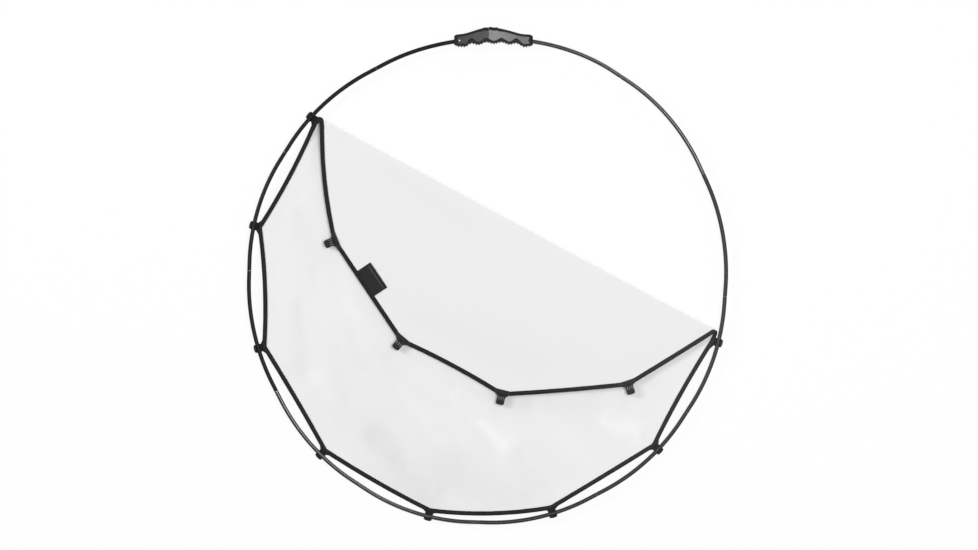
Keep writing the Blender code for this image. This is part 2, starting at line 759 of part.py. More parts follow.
def clip_mesh(tube, along, out, folded):
    """A hook for the tube: base, two walls, a thumb lip outside and a barred window inside."""
    inner_end = BAR_PLACE - BAR_WIDTH / 2
    hook, wall = CHANNEL_HALF + CLIP_HOOK_WALL, CHANNEL_HALF + CLIP_INNER_WALL
    profile = [
        (inner_end, BASE_BOTTOM),
        (CLIP_THUMB_REACH - CLIP_BASE / 2, BASE_BOTTOM),
        (CLIP_THUMB_REACH, BASE_BOTTOM + CLIP_BASE / 2),
        (CLIP_THUMB_REACH, BASE_TOP),
        (hook, BASE_TOP + CLIP_BASE),
        (hook, CLIP_HOOK_RISE - CLIP_HOOK_WALL / 2),
        (hook - CLIP_HOOK_WALL / 2, CLIP_HOOK_RISE),
        (CHANNEL_HALF, CLIP_HOOK_RISE),
        (CHANNEL_HALF, BASE_TOP),
        (-CHANNEL_HALF, BASE_TOP),
        (-CHANNEL_HALF, CLIP_INNER_RISE),
        (-wall, CLIP_INNER_RISE),
        (-wall, BASE_TOP),
        (inner_end, BASE_TOP),
    ]
    profile = [(o, turned_over(up, folded)) for o, up in profile]
    return side_prism(tube, along, out, profile, CLIP_WIDTH / 2)


def add_clip(name, frame, folded, body):
    tube, along, out = frame
    clip = add_piece(name, clip_mesh(tube, along, out, folded), CLIP_PLASTIC, body)
    window = BAR_PLACE + BAR_WIDTH / 2
    opening = [(-WINDOW_WIDTH / 2, window), (WINDOW_WIDTH / 2, window),
               (WINDOW_WIDTH / 2, window + WINDOW_LENGTH), (-WINDOW_WIDTH / 2, window + WINDOW_LENGTH)]
    heights = sorted((turned_over(BASE_BOTTOM - CUTTER_MARGIN, folded), turned_over(WING_BOTTOM, folded)))
    boolean(clip, "DIFFERENCE", prism(frame_outline(tube, along, out, opening), *heights),
            f"{name}_window_cutter", body)


def wing_mesh(tube, along, out, half_bend, folded):
    """The sewn patch over a corner of the binding, drawn in to a neck on the clip's side."""
    far = WING_LENGTH / 2
    drop = far * math.tan(half_bend)
    edge = BINDING_WIDTH / 2
    neck = -(CHANNEL_HALF + CLIP_INNER_WALL + WING_GAP)
    plan = [
        (-far, -CORNER_INSET - drop - edge),
        (0, -CORNER_INSET - WING_INNER),
        (far, -CORNER_INSET - drop - edge),
        (far + drop / 4, -CORNER_INSET - drop + edge / 2),
        (WING_SHOULDER_HALF_WIDTH, -CORNER_INSET - drop / 2 + edge),
        (WING_NECK_HALF_WIDTH, neck),
        (-WING_NECK_HALF_WIDTH, neck),
        (-WING_SHOULDER_HALF_WIDTH, -CORNER_INSET - drop / 2 + edge),
        (-far - drop / 4, -CORNER_INSET - drop + edge / 2),
    ]
    heights = sorted((turned_over(WING_BOTTOM, folded), turned_over(WING_TOP, folded)))
    return prism(frame_outline(tube, along, out, plan), *heights)


def loop_mesh(tube, along, out, folded):
    """Webbing from the wing, through the clip's window and round its bar."""
    turns = [math.pi * i / LOOP_STEPS for i in range(LOOP_STEPS + 1)]
    outer_radius = LOOP_INNER + LOOP_THICKNESS
    top = WING_BOTTOM + LOOP_PLAY

    def half_round(radius):
        arc = [(BAR_PLACE + radius * math.cos(turn), BAR_HEIGHT - radius * math.sin(turn)) for turn in turns]
        return [(BAR_PLACE + radius, top), *arc, (BAR_PLACE - radius, top)]

    profile = half_round(outer_radius) + half_round(LOOP_INNER)[::-1]
    profile = [(o, turned_over(up, folded)) for o, up in profile]
    return side_prism(tube, along, out, profile, LOOP_WIDTH / 2)


def gather(meshes):
    """Several separate shapes in one mesh, for one boolean."""
    whole = bmesh.new()
    for mesh in meshes:
        data = bpy.data.meshes.new("gathered")
        mesh.to_mesh(data)
        mesh.free()
        whole.from_mesh(data)
        bpy.data.meshes.remove(data)
    return whole


def add_binding(name, path, height, frames, folded, body):
    """The elastic band with its sewn wings and loops, which are one piece with it."""
    band = add_piece(name, sweep(path, binding_profile(height)), ELASTIC, body)
    wings = [wing_mesh(tube, along, out, bend, folded) for tube, along, out, bend in frames]
    boolean(band, "UNION", gather(wings), f"{name}_wings", body)
    loops = [loop_mesh(tube, along, out, folded) for tube, along, out, _ in frames]
    boolean(band, "UNION", gather(loops), f"{name}_loops", body)


def flap_clip_frame(number):
    """(place of the tube it would take, along, outward, half the bend) of a hanging clip."""
    corner, along, out, bend = flap_corner_frame(number)
    return corner + out * CORNER_INSET, along, out, bend


def flap_clip_hinge(number):
    tube, _, out, _ = flap_clip_frame(number)
    return tube + out * BAR_PLACE + UP * turned_over(BAR_HEIGHT, True)


def add_panel(body):
    add_piece("panel_fabric", panel_fabric(), WHITE_FABRIC, body)
    add_piece("fabric_fold", fabric_fold(), WHITE_FABRIC, body)
    path = panel_path()
    frames = []
    for number in range(FITTED_CLIPS):
        at = 1 + SPAN_STEPS * number + (SPAN_STEPS - 1)
        before, after = path[at] - path[at - 1], path[at + 1] - path[at]
        frames.append((*clip_frame(number), before.angle(after) / 2))
        add_clip(f"clip_{number + 1:02d}", clip_frame(number), False, body)
    add_binding("panel_binding", path, PANEL_HEIGHT, frames, False, body)


def add_flap(body):
    add_piece("flap_fabric", flap_fabric(), WHITE_FABRIC, body)
    frames = [flap_clip_frame(number) for number in range(len(FLAP_CORNERS))]
    add_binding("flap_binding", flap_path(), FLAP_HEIGHT, frames, True, body)
    first, second = FLAP_POINTS[:2]
    along = (second - first).normalized()
    edge = BINDING_WIDTH / 2 + STITCH_GAP + max(0.0, -FLAP_BOWS[1])
    half = LABEL_LENGTH / 2
    plan = [(-half, -edge), (-half, -LABEL_REACH), (half, -LABEL_REACH), (half, -edge)]
    low = FLAP_HEIGHT + FABRIC_THICKNESS / 2 + STITCH_GAP
    outline = frame_outline(first.lerp(second, LABEL_PLACE), along, across(along), plan)
    add_piece("woven_label", prism(outline, low, low + LABEL_THICKNESS), LABEL_BLACK, body)


# ---------------------------------------------------------------- assembly

clear_scene()

TUBE_BLACK = make_material("tube_black", (0.02, 0.02, 0.022), 0.3, 0.6)
FERRULE_METAL = make_material("ferrule_metal", (0.6, 0.6, 0.62), 0.35, 1.0)
CORD_BLACK = make_material("cord_black", (0.02, 0.02, 0.02), 0.9)
ANCHOR_PLASTIC = make_material("anchor_plastic", (0.08, 0.08, 0.08), 0.6)
GRIP_PLASTIC = make_material("grip_plastic", (0.1, 0.1, 0.105), 0.55)
GRIP_RUBBER = make_material("grip_rubber", (0.02, 0.02, 0.02), 0.8)
STEEL = make_material("steel", (0.7, 0.7, 0.72), 0.25, 1.0)
WHITE_FABRIC = make_material("white_fabric", (0.86, 0.86, 0.87), 0.85)
ELASTIC = make_material("elastic", (0.025, 0.025, 0.025), 0.85)
CLIP_PLASTIC = make_material("clip_plastic", (0.02, 0.02, 0.02), 0.5)
LABEL_BLACK = make_material("label_black", (0.03, 0.03, 0.035), 0.9)

# Centred on its box, standing on the lowest face, which is the back of the grip.
LOWEST, HIGHEST = -hoop_radius(270) - TUBE_RADIUS, GRIP_ORIGIN.length + grip_top(CROWN_PLACE)
ROOT_PLACE = Vector((0, -(LOWEST + HIGHEST) / 2, GRIP_HALF_DEPTH))

base_body = make_body("frame_base", (0, 0, 0))
left_body = make_body("left_arm", joint_point(0), base_body)
right_bodies = []
for arm in range(RIGHT_ARMS):
    swivel = SECTIONS - 1 - RIGHT_ARMS + arm
    carrier = right_bodies[-1] if right_bodies else base_body
    right_bodies.append(make_body(f"right_arm_{arm + 1}", joint_point(swivel), carrier))
panel_body = make_body("panel", (0, 0, 0), base_body)
flap_body = make_body("flap", FOLD_A.lerp(FOLD_B, 0.5) + UP * FOLD_HEIGHT, panel_body)

add_frame(base_body, left_body, right_bodies)
add_grip(left_body, right_bodies[-1])
add_panel(panel_body)
add_flap(flap_body)
for corner in range(len(FLAP_CORNERS)):
    clip_body = make_body(f"flap_clip_{corner + 1}_hinge", flap_clip_hinge(corner), flap_body)
    add_clip(f"flap_clip_{corner + 1}", flap_clip_frame(corner)[:3], True, clip_body)
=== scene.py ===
"""Looks for the collapsible reflector disc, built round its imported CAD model.

A shock-corded hoop of black tubes in a two-part hand grip, and a white diffuser cloth with an elastic edge,
clipped on from behind and folded over the front. Shapes are drawn in hoop coordinates, in metres, with the
hoop's centre at the origin, as the CAD draws them, and ROOT_PLACE carries them to the frame.
"""

import math

import bmesh
import bpy
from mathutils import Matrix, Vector
from mathutils.geometry import delaunay_2d_cdt
from mathutils.kdtree import KDTree
from mathutils.noise import noise


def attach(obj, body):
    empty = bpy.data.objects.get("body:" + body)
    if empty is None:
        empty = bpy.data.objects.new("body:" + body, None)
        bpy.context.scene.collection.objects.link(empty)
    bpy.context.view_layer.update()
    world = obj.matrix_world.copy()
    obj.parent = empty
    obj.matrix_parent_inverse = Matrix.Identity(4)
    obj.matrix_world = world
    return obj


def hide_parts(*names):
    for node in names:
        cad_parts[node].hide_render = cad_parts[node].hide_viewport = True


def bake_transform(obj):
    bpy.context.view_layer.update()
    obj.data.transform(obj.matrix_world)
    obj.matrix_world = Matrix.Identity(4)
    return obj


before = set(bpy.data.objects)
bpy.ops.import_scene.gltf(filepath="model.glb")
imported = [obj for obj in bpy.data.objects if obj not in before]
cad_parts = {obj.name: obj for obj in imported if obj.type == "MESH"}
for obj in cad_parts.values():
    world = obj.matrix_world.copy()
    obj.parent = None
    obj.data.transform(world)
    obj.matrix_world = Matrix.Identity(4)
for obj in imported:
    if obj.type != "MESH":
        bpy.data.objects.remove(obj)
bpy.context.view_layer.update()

UP = Vector((0, 0, 1))

# Hoop: round when free, and pulled out of round by the half-fitted panel.
HOOP_RADIUS = 0.4065
HOOP_STRAIN = ((2, 0.0085, 74.0), (3, 0.0035, 43.0), (4, 0.0027, -28.0))  # lobes, share of radius, degrees
SECTIONS = 12
RIGHT_ARMS = 3  # sections from the hoop's middle joint on the right to the grip, each on a joint of its own
SECTION_PITCH = 360 / SECTIONS
FIRST_JOINT_ANGLE = 117.75
JOINT_LEAN = 1.75  # degrees by which the joints on the right are drawn towards the panel
TUBE_RADIUS = 0.0035
TUBE_WALL = 0.00075
TUBE_BENDS = 6
JOINT_GAP = 0.0003
JOINT_INSET = 0.0009
FERRULE_STRAIGHT = 0.002  # how far beyond its ferrule or socket a tube stays straight
SOCKET_STRAIGHT = 0.003

# Ferrules join the tubes, and an elastic cord runs through all of them.
FERRULE_ENGAGEMENT = 0.013

# Hand grip, in its own frame: s along the grip from the seam, v away from the hoop's centre, z through it.
SEAM_ANGLE = 89.8
GRIP_LEFT_LENGTH = 0.0584
GRIP_RIGHT_LENGTH = 0.0746
GRIP_HALF_DEPTH = 0.011
GRIP_END_TAPER = 0.002
GRIP_EDGE_RADIUS = 0.0045
GRIP_END_ROUND = 0.008
GRIP_END_FULLNESS = 0.66
GRIP_SHOULDER = 0.0064
GRIP_CROWN = 0.012
CROWN_PLACE = 0.003
CROWN_HALF_WIDTH = 0.056
THUMB_RIB_HEIGHT = 0.0009
THUMB_RIB_PITCH = 0.0105
THUMB_RIB_SPAN = 0.018
FINGER_PITCH = 0.0253
FINGER_PLACE = 0.0089
FINGER_PEAK = -0.009
FINGER_VALLEY = -0.004
FINGER_PEAK_DROP = 0.006
FINGER_VALLEY_DROP = 0.0018
FINGER_ROW_OFFSET = 0.003  # the row's middle, from the peak nearest to it
OUTER_FINGER = 0.0505  # how far the outermost fingers lie from the middle of the row
SOCKET_DEPTH = 0.022
SOCKET_PLAY = 0.0003
SOCKET_WALL = 0.0006  # least plastic between the socket and the finger strip
SEAM_GAP = 0.0009

# Ribbed rubber strip set into the finger side of each half.
STRIP_HALF_WIDTH = 0.006
STRIP_STAND_OFF = 0.0012
STRIP_DEPTH = 0.0018
STRIP_END_MARGIN = 0.007

# The right half's tee drops out through the back of the left half's slot.
TEE_NECK_LENGTH = 0.0035
TEE_NECK_HALF_WIDTH = 0.0026
TEE_HEAD_LENGTH = 0.0045
TEE_HEAD_HALF_WIDTH = 0.0055
TEE_PLACE = 0.008
TEE_HEIGHT = 0.0095
TEE_SET_BACK = 0.001
TEE_PLAY_ALONG = 0.0011
TEE_PLAY_ACROSS = 0.0019
TEE_ROOT = 0.002  # how deep the tee is rooted in the right half

# Grub screws that hold the end tubes in the grip.
SCREW_RADIUS = 0.0016
SCREW_PLAY = 0.0003
SCREW_LEFT_MARGIN = 0.0089  # from the end of the grip
SCREW_RIGHT_MARGIN = 0.0064
SCREW_SINK = 0.0004
SCREW_SLOT_WIDTH = 0.0006
SCREW_SLOT_DEPTH = 0.0007
CUTTER_MARGIN = 0.002  # how far a cutter runs past what it cuts

# Panel: heights are measured from the plane of the hoop's centreline.
FABRIC_THICKNESS = 0.0004
PANEL_HEIGHT = -0.002
FLAP_HEIGHT = 0.0028
FOLD_START = (136.2, 0.0125)  # angle on the hoop, and how far inside it
FOLD_END = (347.4, 0.0103)
FLAP_SET_BACK = 0.0019
FLAP_END_INSET = 0.003

# Elastic binding: a band folded over the fabric's edge.
BINDING_WIDTH = 0.0065
BINDING_THICKNESS = 0.002
BINDING_WALL = 0.0005
BINDING_BACK = 0.0009
FABRIC_REACH = 0.0047
SPAN_STEPS = 4

# Clips: hooks that take the tube from behind, each hanging from the binding by a sewn wing and its loop.
CLIP_FIRST_ANGLE = 137.3
CLIP_PITCH = 29.64
FITTED_CLIPS = 8
CLIP_WIDTH = 0.0138
CLIP_PLAY = 0.0005
CLIP_BASE = 0.0016
CLIP_HOOK_WALL = 0.0018
CLIP_HOOK_RISE = 0.0022
CLIP_INNER_WALL = 0.0014
CLIP_INNER_RISE = 0.0012
CLIP_THUMB_REACH = 0.0095
CORNER_INSET = 0.010
BAR_INSET = 0.0021  # how far inside the binding's centre the bar lies
WINDOW_LENGTH = 0.0040
WINDOW_WIDTH = 0.0082
WINDOW_ROUND = 0.0007
BAR_WIDTH = 0.0014
LOOP_PLAY = 0.0003
LOOP_THICKNESS = 0.0006
LOOP_WIDTH = 0.0070
WING_LENGTH = 0.029
WING_INNER = 0.0045
WING_NECK_HALF_WIDTH = 0.0072
WING_SHOULDER_HALF_WIDTH = 0.0108
WING_GAP = 0.0005

# How far each stretch of binding bows outwards between its corners.
PANEL_BOWS = (-0.0045, -0.005, -0.0015, 0.003, 0.0075, 0.0005, -0.003)
# The flap's corners, from the left end of the fold to the right: the angle on the hoop that each is cut for,
# and how far inside the hoop it would stay, slack as it is. Then the bows between them.
FLAP_CORNERS = ((105.05, 0.0278), (74.0, 0.0322), (44.9, 0.0239), (12.8, 0.017))
FLAP_BOWS = (0.004, 0.0, -0.0035, 0.0015, 0.0005)

# Woven tab sewn behind the flap's edge, between the first two corners.
LABEL_LENGTH = 0.051
LABEL_REACH = 0.030
LABEL_THICKNESS = 0.0007
LABEL_PLACE = 0.44
STITCH_GAP = 0.0003

# ---- hoop

def clamp(x, low=0.0, high=1.0):
    return max(low, min(high, x))

def hoop_radius(angle):
    strain = sum(share * math.cos(lobes * math.radians(angle - place)) for lobes, share, place in HOOP_STRAIN)
    return HOOP_RADIUS * (1 + strain)

def hoop_point(angle):
    turn = math.radians(angle)
    return hoop_radius(angle) * Vector((math.cos(turn), math.sin(turn), 0))

def hoop_tangent(angle):
    """Anticlockwise along the tube's centreline."""
    return (hoop_point(angle + 0.05) - hoop_point(angle - 0.05)).normalized()

def joint_angle(number):
    """Joint 0 ends the left arm, and the others follow anticlockwise."""
    even = FIRST_JOINT_ANGLE + number * SECTION_PITCH
    return even - JOINT_LEAN * max(0.0, math.cos(math.radians(even)))

def inside_hoop(angle, inset):
    place = hoop_point(angle)
    return place - place.normalized() * inset

def joint_point(number):
    """The tubes leave a joint straight, so it lies a little inside the round."""
    return inside_hoop(joint_angle(number), JOINT_INSET)

def across(direction):
    """In the hoop's plane, to the right of a direction: outwards for one that runs anticlockwise."""
    return direction.cross(UP)

def mouth_angle(reach):
    """Where the hoop enters the grip, a reach to the left (positive) or the right of the seam."""
    return SEAM_ANGLE + math.degrees(math.asin(reach / hoop_radius(SEAM_ANGLE)))

LEFT_MOUTH = mouth_angle(GRIP_LEFT_LENGTH)
RIGHT_MOUTH = mouth_angle(-GRIP_RIGHT_LENGTH)


def tube_end(joint, side):
    """(end, way, straight length) of a tube at a joint, or in the grip where the joints end. Side is 1 where the
    tube starts and -1 where it ends."""
    if 0 <= joint < SECTIONS - 1:
        way = hoop_tangent(joint_angle(joint))
        return joint_point(joint) + way * side * JOINT_GAP / 2, way, FERRULE_ENGAGEMENT + FERRULE_STRAIGHT
    mouth = LEFT_MOUTH if joint < 0 else RIGHT_MOUTH
    way = hoop_tangent(mouth)
    return hoop_point(mouth) - way * side * SOCKET_DEPTH, way, SOCKET_DEPTH + SOCKET_STRAIGHT

def section_path(number, bends=TUBE_BENDS):
    """Centreline of the tube that ends at joint number: straight where a ferrule or the grip holds it, and bent
    evenly between."""
    start, way, straight = tube_end(number - 1, 1)
    end, end_way, end_straight = tube_end(number, -1)
    first, last = start + way * straight, end - end_way * end_straight
    span, path = (last - first).length, [start]
    for t in (step / bends for step in range(bends + 1)):
        path.append(first * (2 * t**3 - 3 * t**2 + 1) + way * span * (t**3 - 2 * t**2 + t)
                    + last * (3 * t**2 - 2 * t**3) + end_way * span * (t**3 - t**2))
    return path + [end]

def path_ways(path):
    """Unit direction at each point of a path."""
    steps = [(b - a).normalized() for a, b in zip(path, path[1:])]
    return [steps[0], *((before + after).normalized() for before, after in zip(steps, steps[1:])), steps[-1]]

# ---- grip

GRIP_ORIGIN = hoop_point(SEAM_ANGLE)
GRIP_OUT = GRIP_ORIGIN.normalized()
GRIP_ALONG = across(GRIP_OUT)
FINGER_ROW_MIDDLE = FINGER_PLACE + FINGER_ROW_OFFSET

def grip_depth(s):
    """From the grip's middle plane to its flat face."""
    length = GRIP_LEFT_LENGTH if s < 0 else GRIP_RIGHT_LENGTH
    return GRIP_HALF_DEPTH - GRIP_END_TAPER * (s / length) ** 2

def grip_point(s, v, z):
    return GRIP_ORIGIN + GRIP_ALONG * s + GRIP_OUT * v + UP * z

def grip_end(s):
    """(mouth angle, distance from the end of the grip) of the half that s lies in."""
    if s < 0:
        return LEFT_MOUTH, GRIP_LEFT_LENGTH + s
    return RIGHT_MOUTH, GRIP_RIGHT_LENGTH - s

def socket_v(s):
    """How far outwards the end tube's axis runs at s."""
    angle = grip_end(s)[0]
    mouth = hoop_point(angle) - GRIP_ORIGIN
    way = hoop_tangent(angle)
    slope = way.dot(GRIP_OUT) / way.dot(GRIP_ALONG)
    return mouth.dot(GRIP_OUT) + (s - mouth.dot(GRIP_ALONG)) * slope

def grip_top(s):
    """The outer edge: low shoulders, a crown where the palm rests, and thumb ribs on the crown."""
    reach = min(1.0, abs(s - CROWN_PLACE) / CROWN_HALF_WIDTH)
    crown = GRIP_CROWN * (1 + math.cos(math.pi * reach)) / 2
    rib = 0.0
    if abs(s - CROWN_PLACE) < THUMB_RIB_SPAN:
        rib = THUMB_RIB_HEIGHT * max(0.0, math.cos(math.tau * (s - CROWN_PLACE) / THUMB_RIB_PITCH))
    return GRIP_SHOULDER + crown + rib

def socket_floor(s):
    """The highest the inner edge may run under a socket. Beyond the tube's end it climbs away."""
    floor = socket_v(s) - TUBE_RADIUS - SOCKET_PLAY - SOCKET_WALL - STRIP_DEPTH - STRIP_STAND_OFF
    return floor + max(0.0, grip_end(s)[1] - SOCKET_DEPTH - SOCKET_WALL)

def finger_row(s):
    """(place in the row of scallops, how near to one of its ends, height of a finger's peak there)."""
    place = clamp(s, FINGER_ROW_MIDDLE - OUTER_FINGER, FINGER_ROW_MIDDLE + OUTER_FINGER)
    share = ((place - FINGER_ROW_MIDDLE) / OUTER_FINGER) ** 2
    return place, share, FINGER_PEAK - FINGER_PEAK_DROP * share

def finger_line(s):
    """The inner edge: scallops for the fingers, deeper and wider at both ends of the row."""
    place, share, peak = finger_row(s)
    valley = FINGER_VALLEY - FINGER_VALLEY_DROP * share
    swell = (1 + math.cos(math.tau * (place - FINGER_PLACE) / FINGER_PITCH)) / 2
    return min(socket_floor(s), valley + (peak - valley) * swell)

def grip_bottom(s):
    return finger_line(s) + STRIP_STAND_OFF

def stations(start, end, step):
    count = max(2, math.ceil(abs(end - start) / step))
    return [start + (end - start) * i / count for i in range(count + 1)]

def grip_plan(place, points):
    """Points given as (along, outward) in the grip's plan, in hoop coordinates."""
    return [place + GRIP_ALONG * a + GRIP_OUT * o for a, o in points]

def tee_outline(play_along, play_across, root):
    """The coupling's tee in plan, from its root on the right half to its head in the left."""
    neck, head = TEE_NECK_HALF_WIDTH + play_across, TEE_HEAD_HALF_WIDTH + play_across
    shoulder = -(TEE_NECK_LENGTH - play_along)
    end = -(TEE_NECK_LENGTH + TEE_HEAD_LENGTH + play_along)
    plan = [(root, -neck), (root, neck), (shoulder, neck), (shoulder, head),
            (end, head), (end, -head), (shoulder, -head), (shoulder, -neck)]
    return grip_plan(grip_point(0, TEE_PLACE, 0), plan)

# ---- panel

def clip_frame(number):
    """(tube centre, along, outward) of a fitted clip, where its ray meets the bent tube."""
    angle = math.radians(CLIP_FIRST_ANGLE + number * CLIP_PITCH)
    ray, turn = Vector((math.cos(angle), math.sin(angle), 0)), Vector((-math.sin(angle), math.cos(angle), 0))
    for section in range(SECTIONS):
        path = section_path(section)
        for a, b in zip(path, path[1:]):
            if a.dot(turn) < 0 <= b.dot(turn) and a.dot(ray) > 0:
                along = (b - a).normalized()
                return a - along * (a.dot(turn) / along.dot(turn)), along, across(along)
    raise ValueError("no tube at this clip's angle")

def bowed(corners, bows, steps=SPAN_STEPS):
    """A path through corners, each stretch bowed outwards, which is to its right: it runs anticlockwise."""
    path = [corners[0]]
    for a, b, bow in zip(corners, corners[1:], bows):
        out = across((b - a).normalized())
        for step in range(1, steps + 1):
            t = step / steps
            path.append(a.lerp(b, t) + out * bow * 4 * t * (1 - t))
    return path


FOLD_A = inside_hoop(*FOLD_START)
FOLD_B = inside_hoop(*FOLD_END)
FOLD_WAY = (FOLD_B - FOLD_A).normalized()
FOLD_IN = across(FOLD_WAY)
FOLD_HEIGHT = (PANEL_HEIGHT + FLAP_HEIGHT) / 2

def folded_over(point):
    """A point of the flat panel's other half, turned over the fold line."""
    return point - FOLD_IN * 2 * (point - FOLD_A).dot(FOLD_IN)

FLAP_POINTS = [folded_over(inside_hoop(angle, inset)) for angle, inset in FLAP_CORNERS]

def fitted_corners():
    return [tube - out * CORNER_INSET for tube, _, out in (clip_frame(n) for n in range(FITTED_CLIPS))]

def panel_path():
    """Centre of the fitted binding, from the left end of the fold round to its right end."""
    return bowed([FOLD_A, *fitted_corners(), FOLD_B], (0.0, *PANEL_BOWS, 0.0))

def flap_start(end):
    """The flap's binding starts clear of the fold, so that it can turn over it."""
    return end + FOLD_IN * (BINDING_WIDTH / 2 + FLAP_SET_BACK)

def flap_path():
    start, end = flap_start(FOLD_A), flap_start(FOLD_B)
    inset = FOLD_WAY * FLAP_END_INSET
    return bowed([start + inset, *FLAP_POINTS, end - inset], FLAP_BOWS)

def flap_clip_frame(number):
    """(place of the tube it would take, along, outward, half the bend) of a hanging clip, at its corner of the flap."""
    path, at = flap_path(), (number + 1) * SPAN_STEPS
    before, after = (path[at] - path[at - 1]).normalized(), (path[at + 1] - path[at]).normalized()
    along = (before + after).normalized()
    out = across(along)
    return path[at] + out * CORNER_INSET, along, out, before.angle(after) / 2

def turned_over(height, folded):
    return 2 * FOLD_HEIGHT - height if folded else height

CHANNEL_HALF = TUBE_RADIUS + CLIP_PLAY
BASE_TOP = -CHANNEL_HALF
BASE_BOTTOM = BASE_TOP - CLIP_BASE
BAR_HEIGHT = BASE_TOP - CLIP_BASE / 2
BAR_PLACE = -CORNER_INSET - BAR_INSET
LOOP_INNER = math.hypot(CLIP_BASE / 2, BAR_WIDTH / 2) + LOOP_PLAY
WING_BOTTOM = BASE_TOP + WING_GAP
WING_TOP = PANEL_HEIGHT - BINDING_THICKNESS / 2 + BINDING_WALL / 2

LOWEST, HIGHEST = -hoop_radius(270) - TUBE_RADIUS, GRIP_ORIGIN.length + grip_top(CROWN_PLACE)
ROOT_PLACE = Vector((0, -(LOWEST + HIGHEST) / 2, GRIP_HALF_DEPTH))

# ---- mesh helpers

def smoothstep(low, high, x):
    t = clamp((x - low) / (high - low))
    return t * t * (3 - 2 * t)


def noise_at(x, y, z=0.0):
    return noise(Vector((x, y, z)))


def closed_pairs(points):
    return zip(points, points[1:] + points[:1])


def doubled_area(outline):
    """Twice the area inside a 2D outline, negative if it runs clockwise."""
    return sum(a.x * b.y - b.x * a.y for a, b in closed_pairs(outline))


def weave_layer(bm):
    """Weave coordinates of a surface, in metres."""
    layers = bm.verts.layers.float_vector
    return layers.get("weave") or layers.new("weave")


def loft(bm, rings, along=None, around=None, closed=False):
    """Skins rings of points. Its weave coordinates run along the rings and around each of them."""
    layer, rows = weave_layer(bm), []
    for i, ring in enumerate(rings):
        row = [bm.verts.new(point) for point in ring]
        for j, vert in enumerate(row):
            vert[layer] = (along[i] if along else 0, around[j] if around else 0, 0)
        rows.append(row)
    faces = []
    for row, after in closed_pairs(rows) if closed else zip(rows, rows[1:]):
        for i in range(len(row)):
            j = (i + 1) % len(row)
            faces.append(bm.faces.new((row[i], row[j], after[j], after[i])))
    if not closed:
        faces += [bm.faces.new(rows[0]), bm.faces.new(rows[-1])]
    bmesh.ops.recalc_face_normals(bm, faces=faces)


def lofted(rings, **options):
    """A mesh of its own from rings of points."""
    bm = bmesh.new()
    loft(bm, rings, **options)
    return bm


def circle(point, side, up, radius, sides):
    turns = [math.tau * k / sides for k in range(sides)]
    return [point + radius * (math.cos(turn) * side + math.sin(turn) * up) for turn in turns]


def key_tree(points):
    """Finds the nearest of some 2D points."""
    tree = KDTree(len(points))
    for i, p in enumerate(points):
        tree.insert((*p, 0), i)
    tree.balance()
    return tree


def lengths(points):
    """Running length along a path."""
    run = [0.0]
    for a, b in zip(points, points[1:]):
        run.append(run[-1] + (b - a).length)
    return run


def flat_lengths(points):
    return lengths([Vector((*point, 0)) for point in points])


def quarter(steps):
    """Angles of a quarter turn."""
    return [math.radians(90 * k / steps) for k in range(steps + 1)]


def resampled(path, step, closed=False):
    points = path + path[:1] if closed else path
    run = lengths(points)
    count = max(2, round(run[-1] / step))
    out, at = [], 0
    for i in range(count if closed else count + 1):
        want = run[-1] * i / count
        while at < len(run) - 2 and run[at + 1] < want:
            at += 1
        share = (want - run[at]) / max(1e-12, run[at + 1] - run[at])
        out.append(points[at].lerp(points[at + 1], share))
    return out


def add_object(name, data):
    obj = bpy.data.objects.new(name, data)
    bpy.context.scene.collection.objects.link(obj)
    return obj


def finish_mesh(name, bm, material, smooth_angle=40, moved=True):
    """Turns a bmesh in hoop coordinates into an object in the frame."""
    if moved:
        bmesh.ops.translate(bm, vec=ROOT_PLACE, verts=bm.verts)
    data = bpy.data.meshes.new(name)
    bm.to_mesh(data)
    bm.free()
    data.materials.append(material)
    obj = add_object(name, data)
    resharpen(obj, smooth_angle)
    return obj


def claim(piece, body, slot, *nodes):
    """Rides a piece on a body and says which CAD nodes it stands for. The name of its finish, slot, is not used."""
    if body:
        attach(piece, body)
    if nodes:
        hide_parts(*nodes)
    return piece


def cut(obj, bm, operation="DIFFERENCE"):
    """Cuts a bmesh out of an object, or joins the two."""
    tool = finish_mesh("cutter", bm, obj.data.materials[0])
    modifier = obj.modifiers.new("cut", "BOOLEAN")
    modifier.operation = operation
    modifier.object = tool
    data = bpy.data.meshes.new_from_object(obj.evaluated_get(bpy.context.evaluated_depsgraph_get()))
    obj.modifiers.clear()
    old, obj.data = obj.data, data
    bpy.data.meshes.remove(old)
    bpy.data.objects.remove(tool, do_unlink=True)


def resharpen(obj, smooth_angle):
    obj.data.shade_smooth()
    obj.data.set_sharp_from_angle(angle=math.radians(smooth_angle))


def rounded(corners, steps):
    """A polygon of (x, y, radius) with its corners rounded."""
    out, places = [], [Vector(corner[:2]) for corner in corners]
    for i, (here, (_, _, radius)) in enumerate(zip(places, corners)):
        a, b = places[i - 1] - here, places[(i + 1) % len(places)] - here
        reach = min(radius, a.length * 0.49, b.length * 0.49)
        start, end = here + a.normalized() * reach, here + b.normalized() * reach
        for k in range(steps + 1):
            t = k / steps
            out.append(start * (1 - t) ** 2 + here * 2 * t * (1 - t) + end * t**2)
    return out


def thread(bm, points, radius):
    """A stretch of sewing thread."""
    rings = []
    for i, point in enumerate(points):
        way = (points[min(i + 1, len(points) - 1)] - points[max(i - 1, 0)]).normalized()
        side = way.cross(UP)
        side = side.normalized() if side.length > 1e-6 else Vector((1, 0, 0))
        rings.append(circle(point, side, side.cross(way), radius, THREAD_SIDES))
    loft(bm, rings)


THREAD_RADIUS = 0.00019
THREAD_SIDES = 5
STITCH_SHARE = 0.72  # of its pitch that a stitch covers


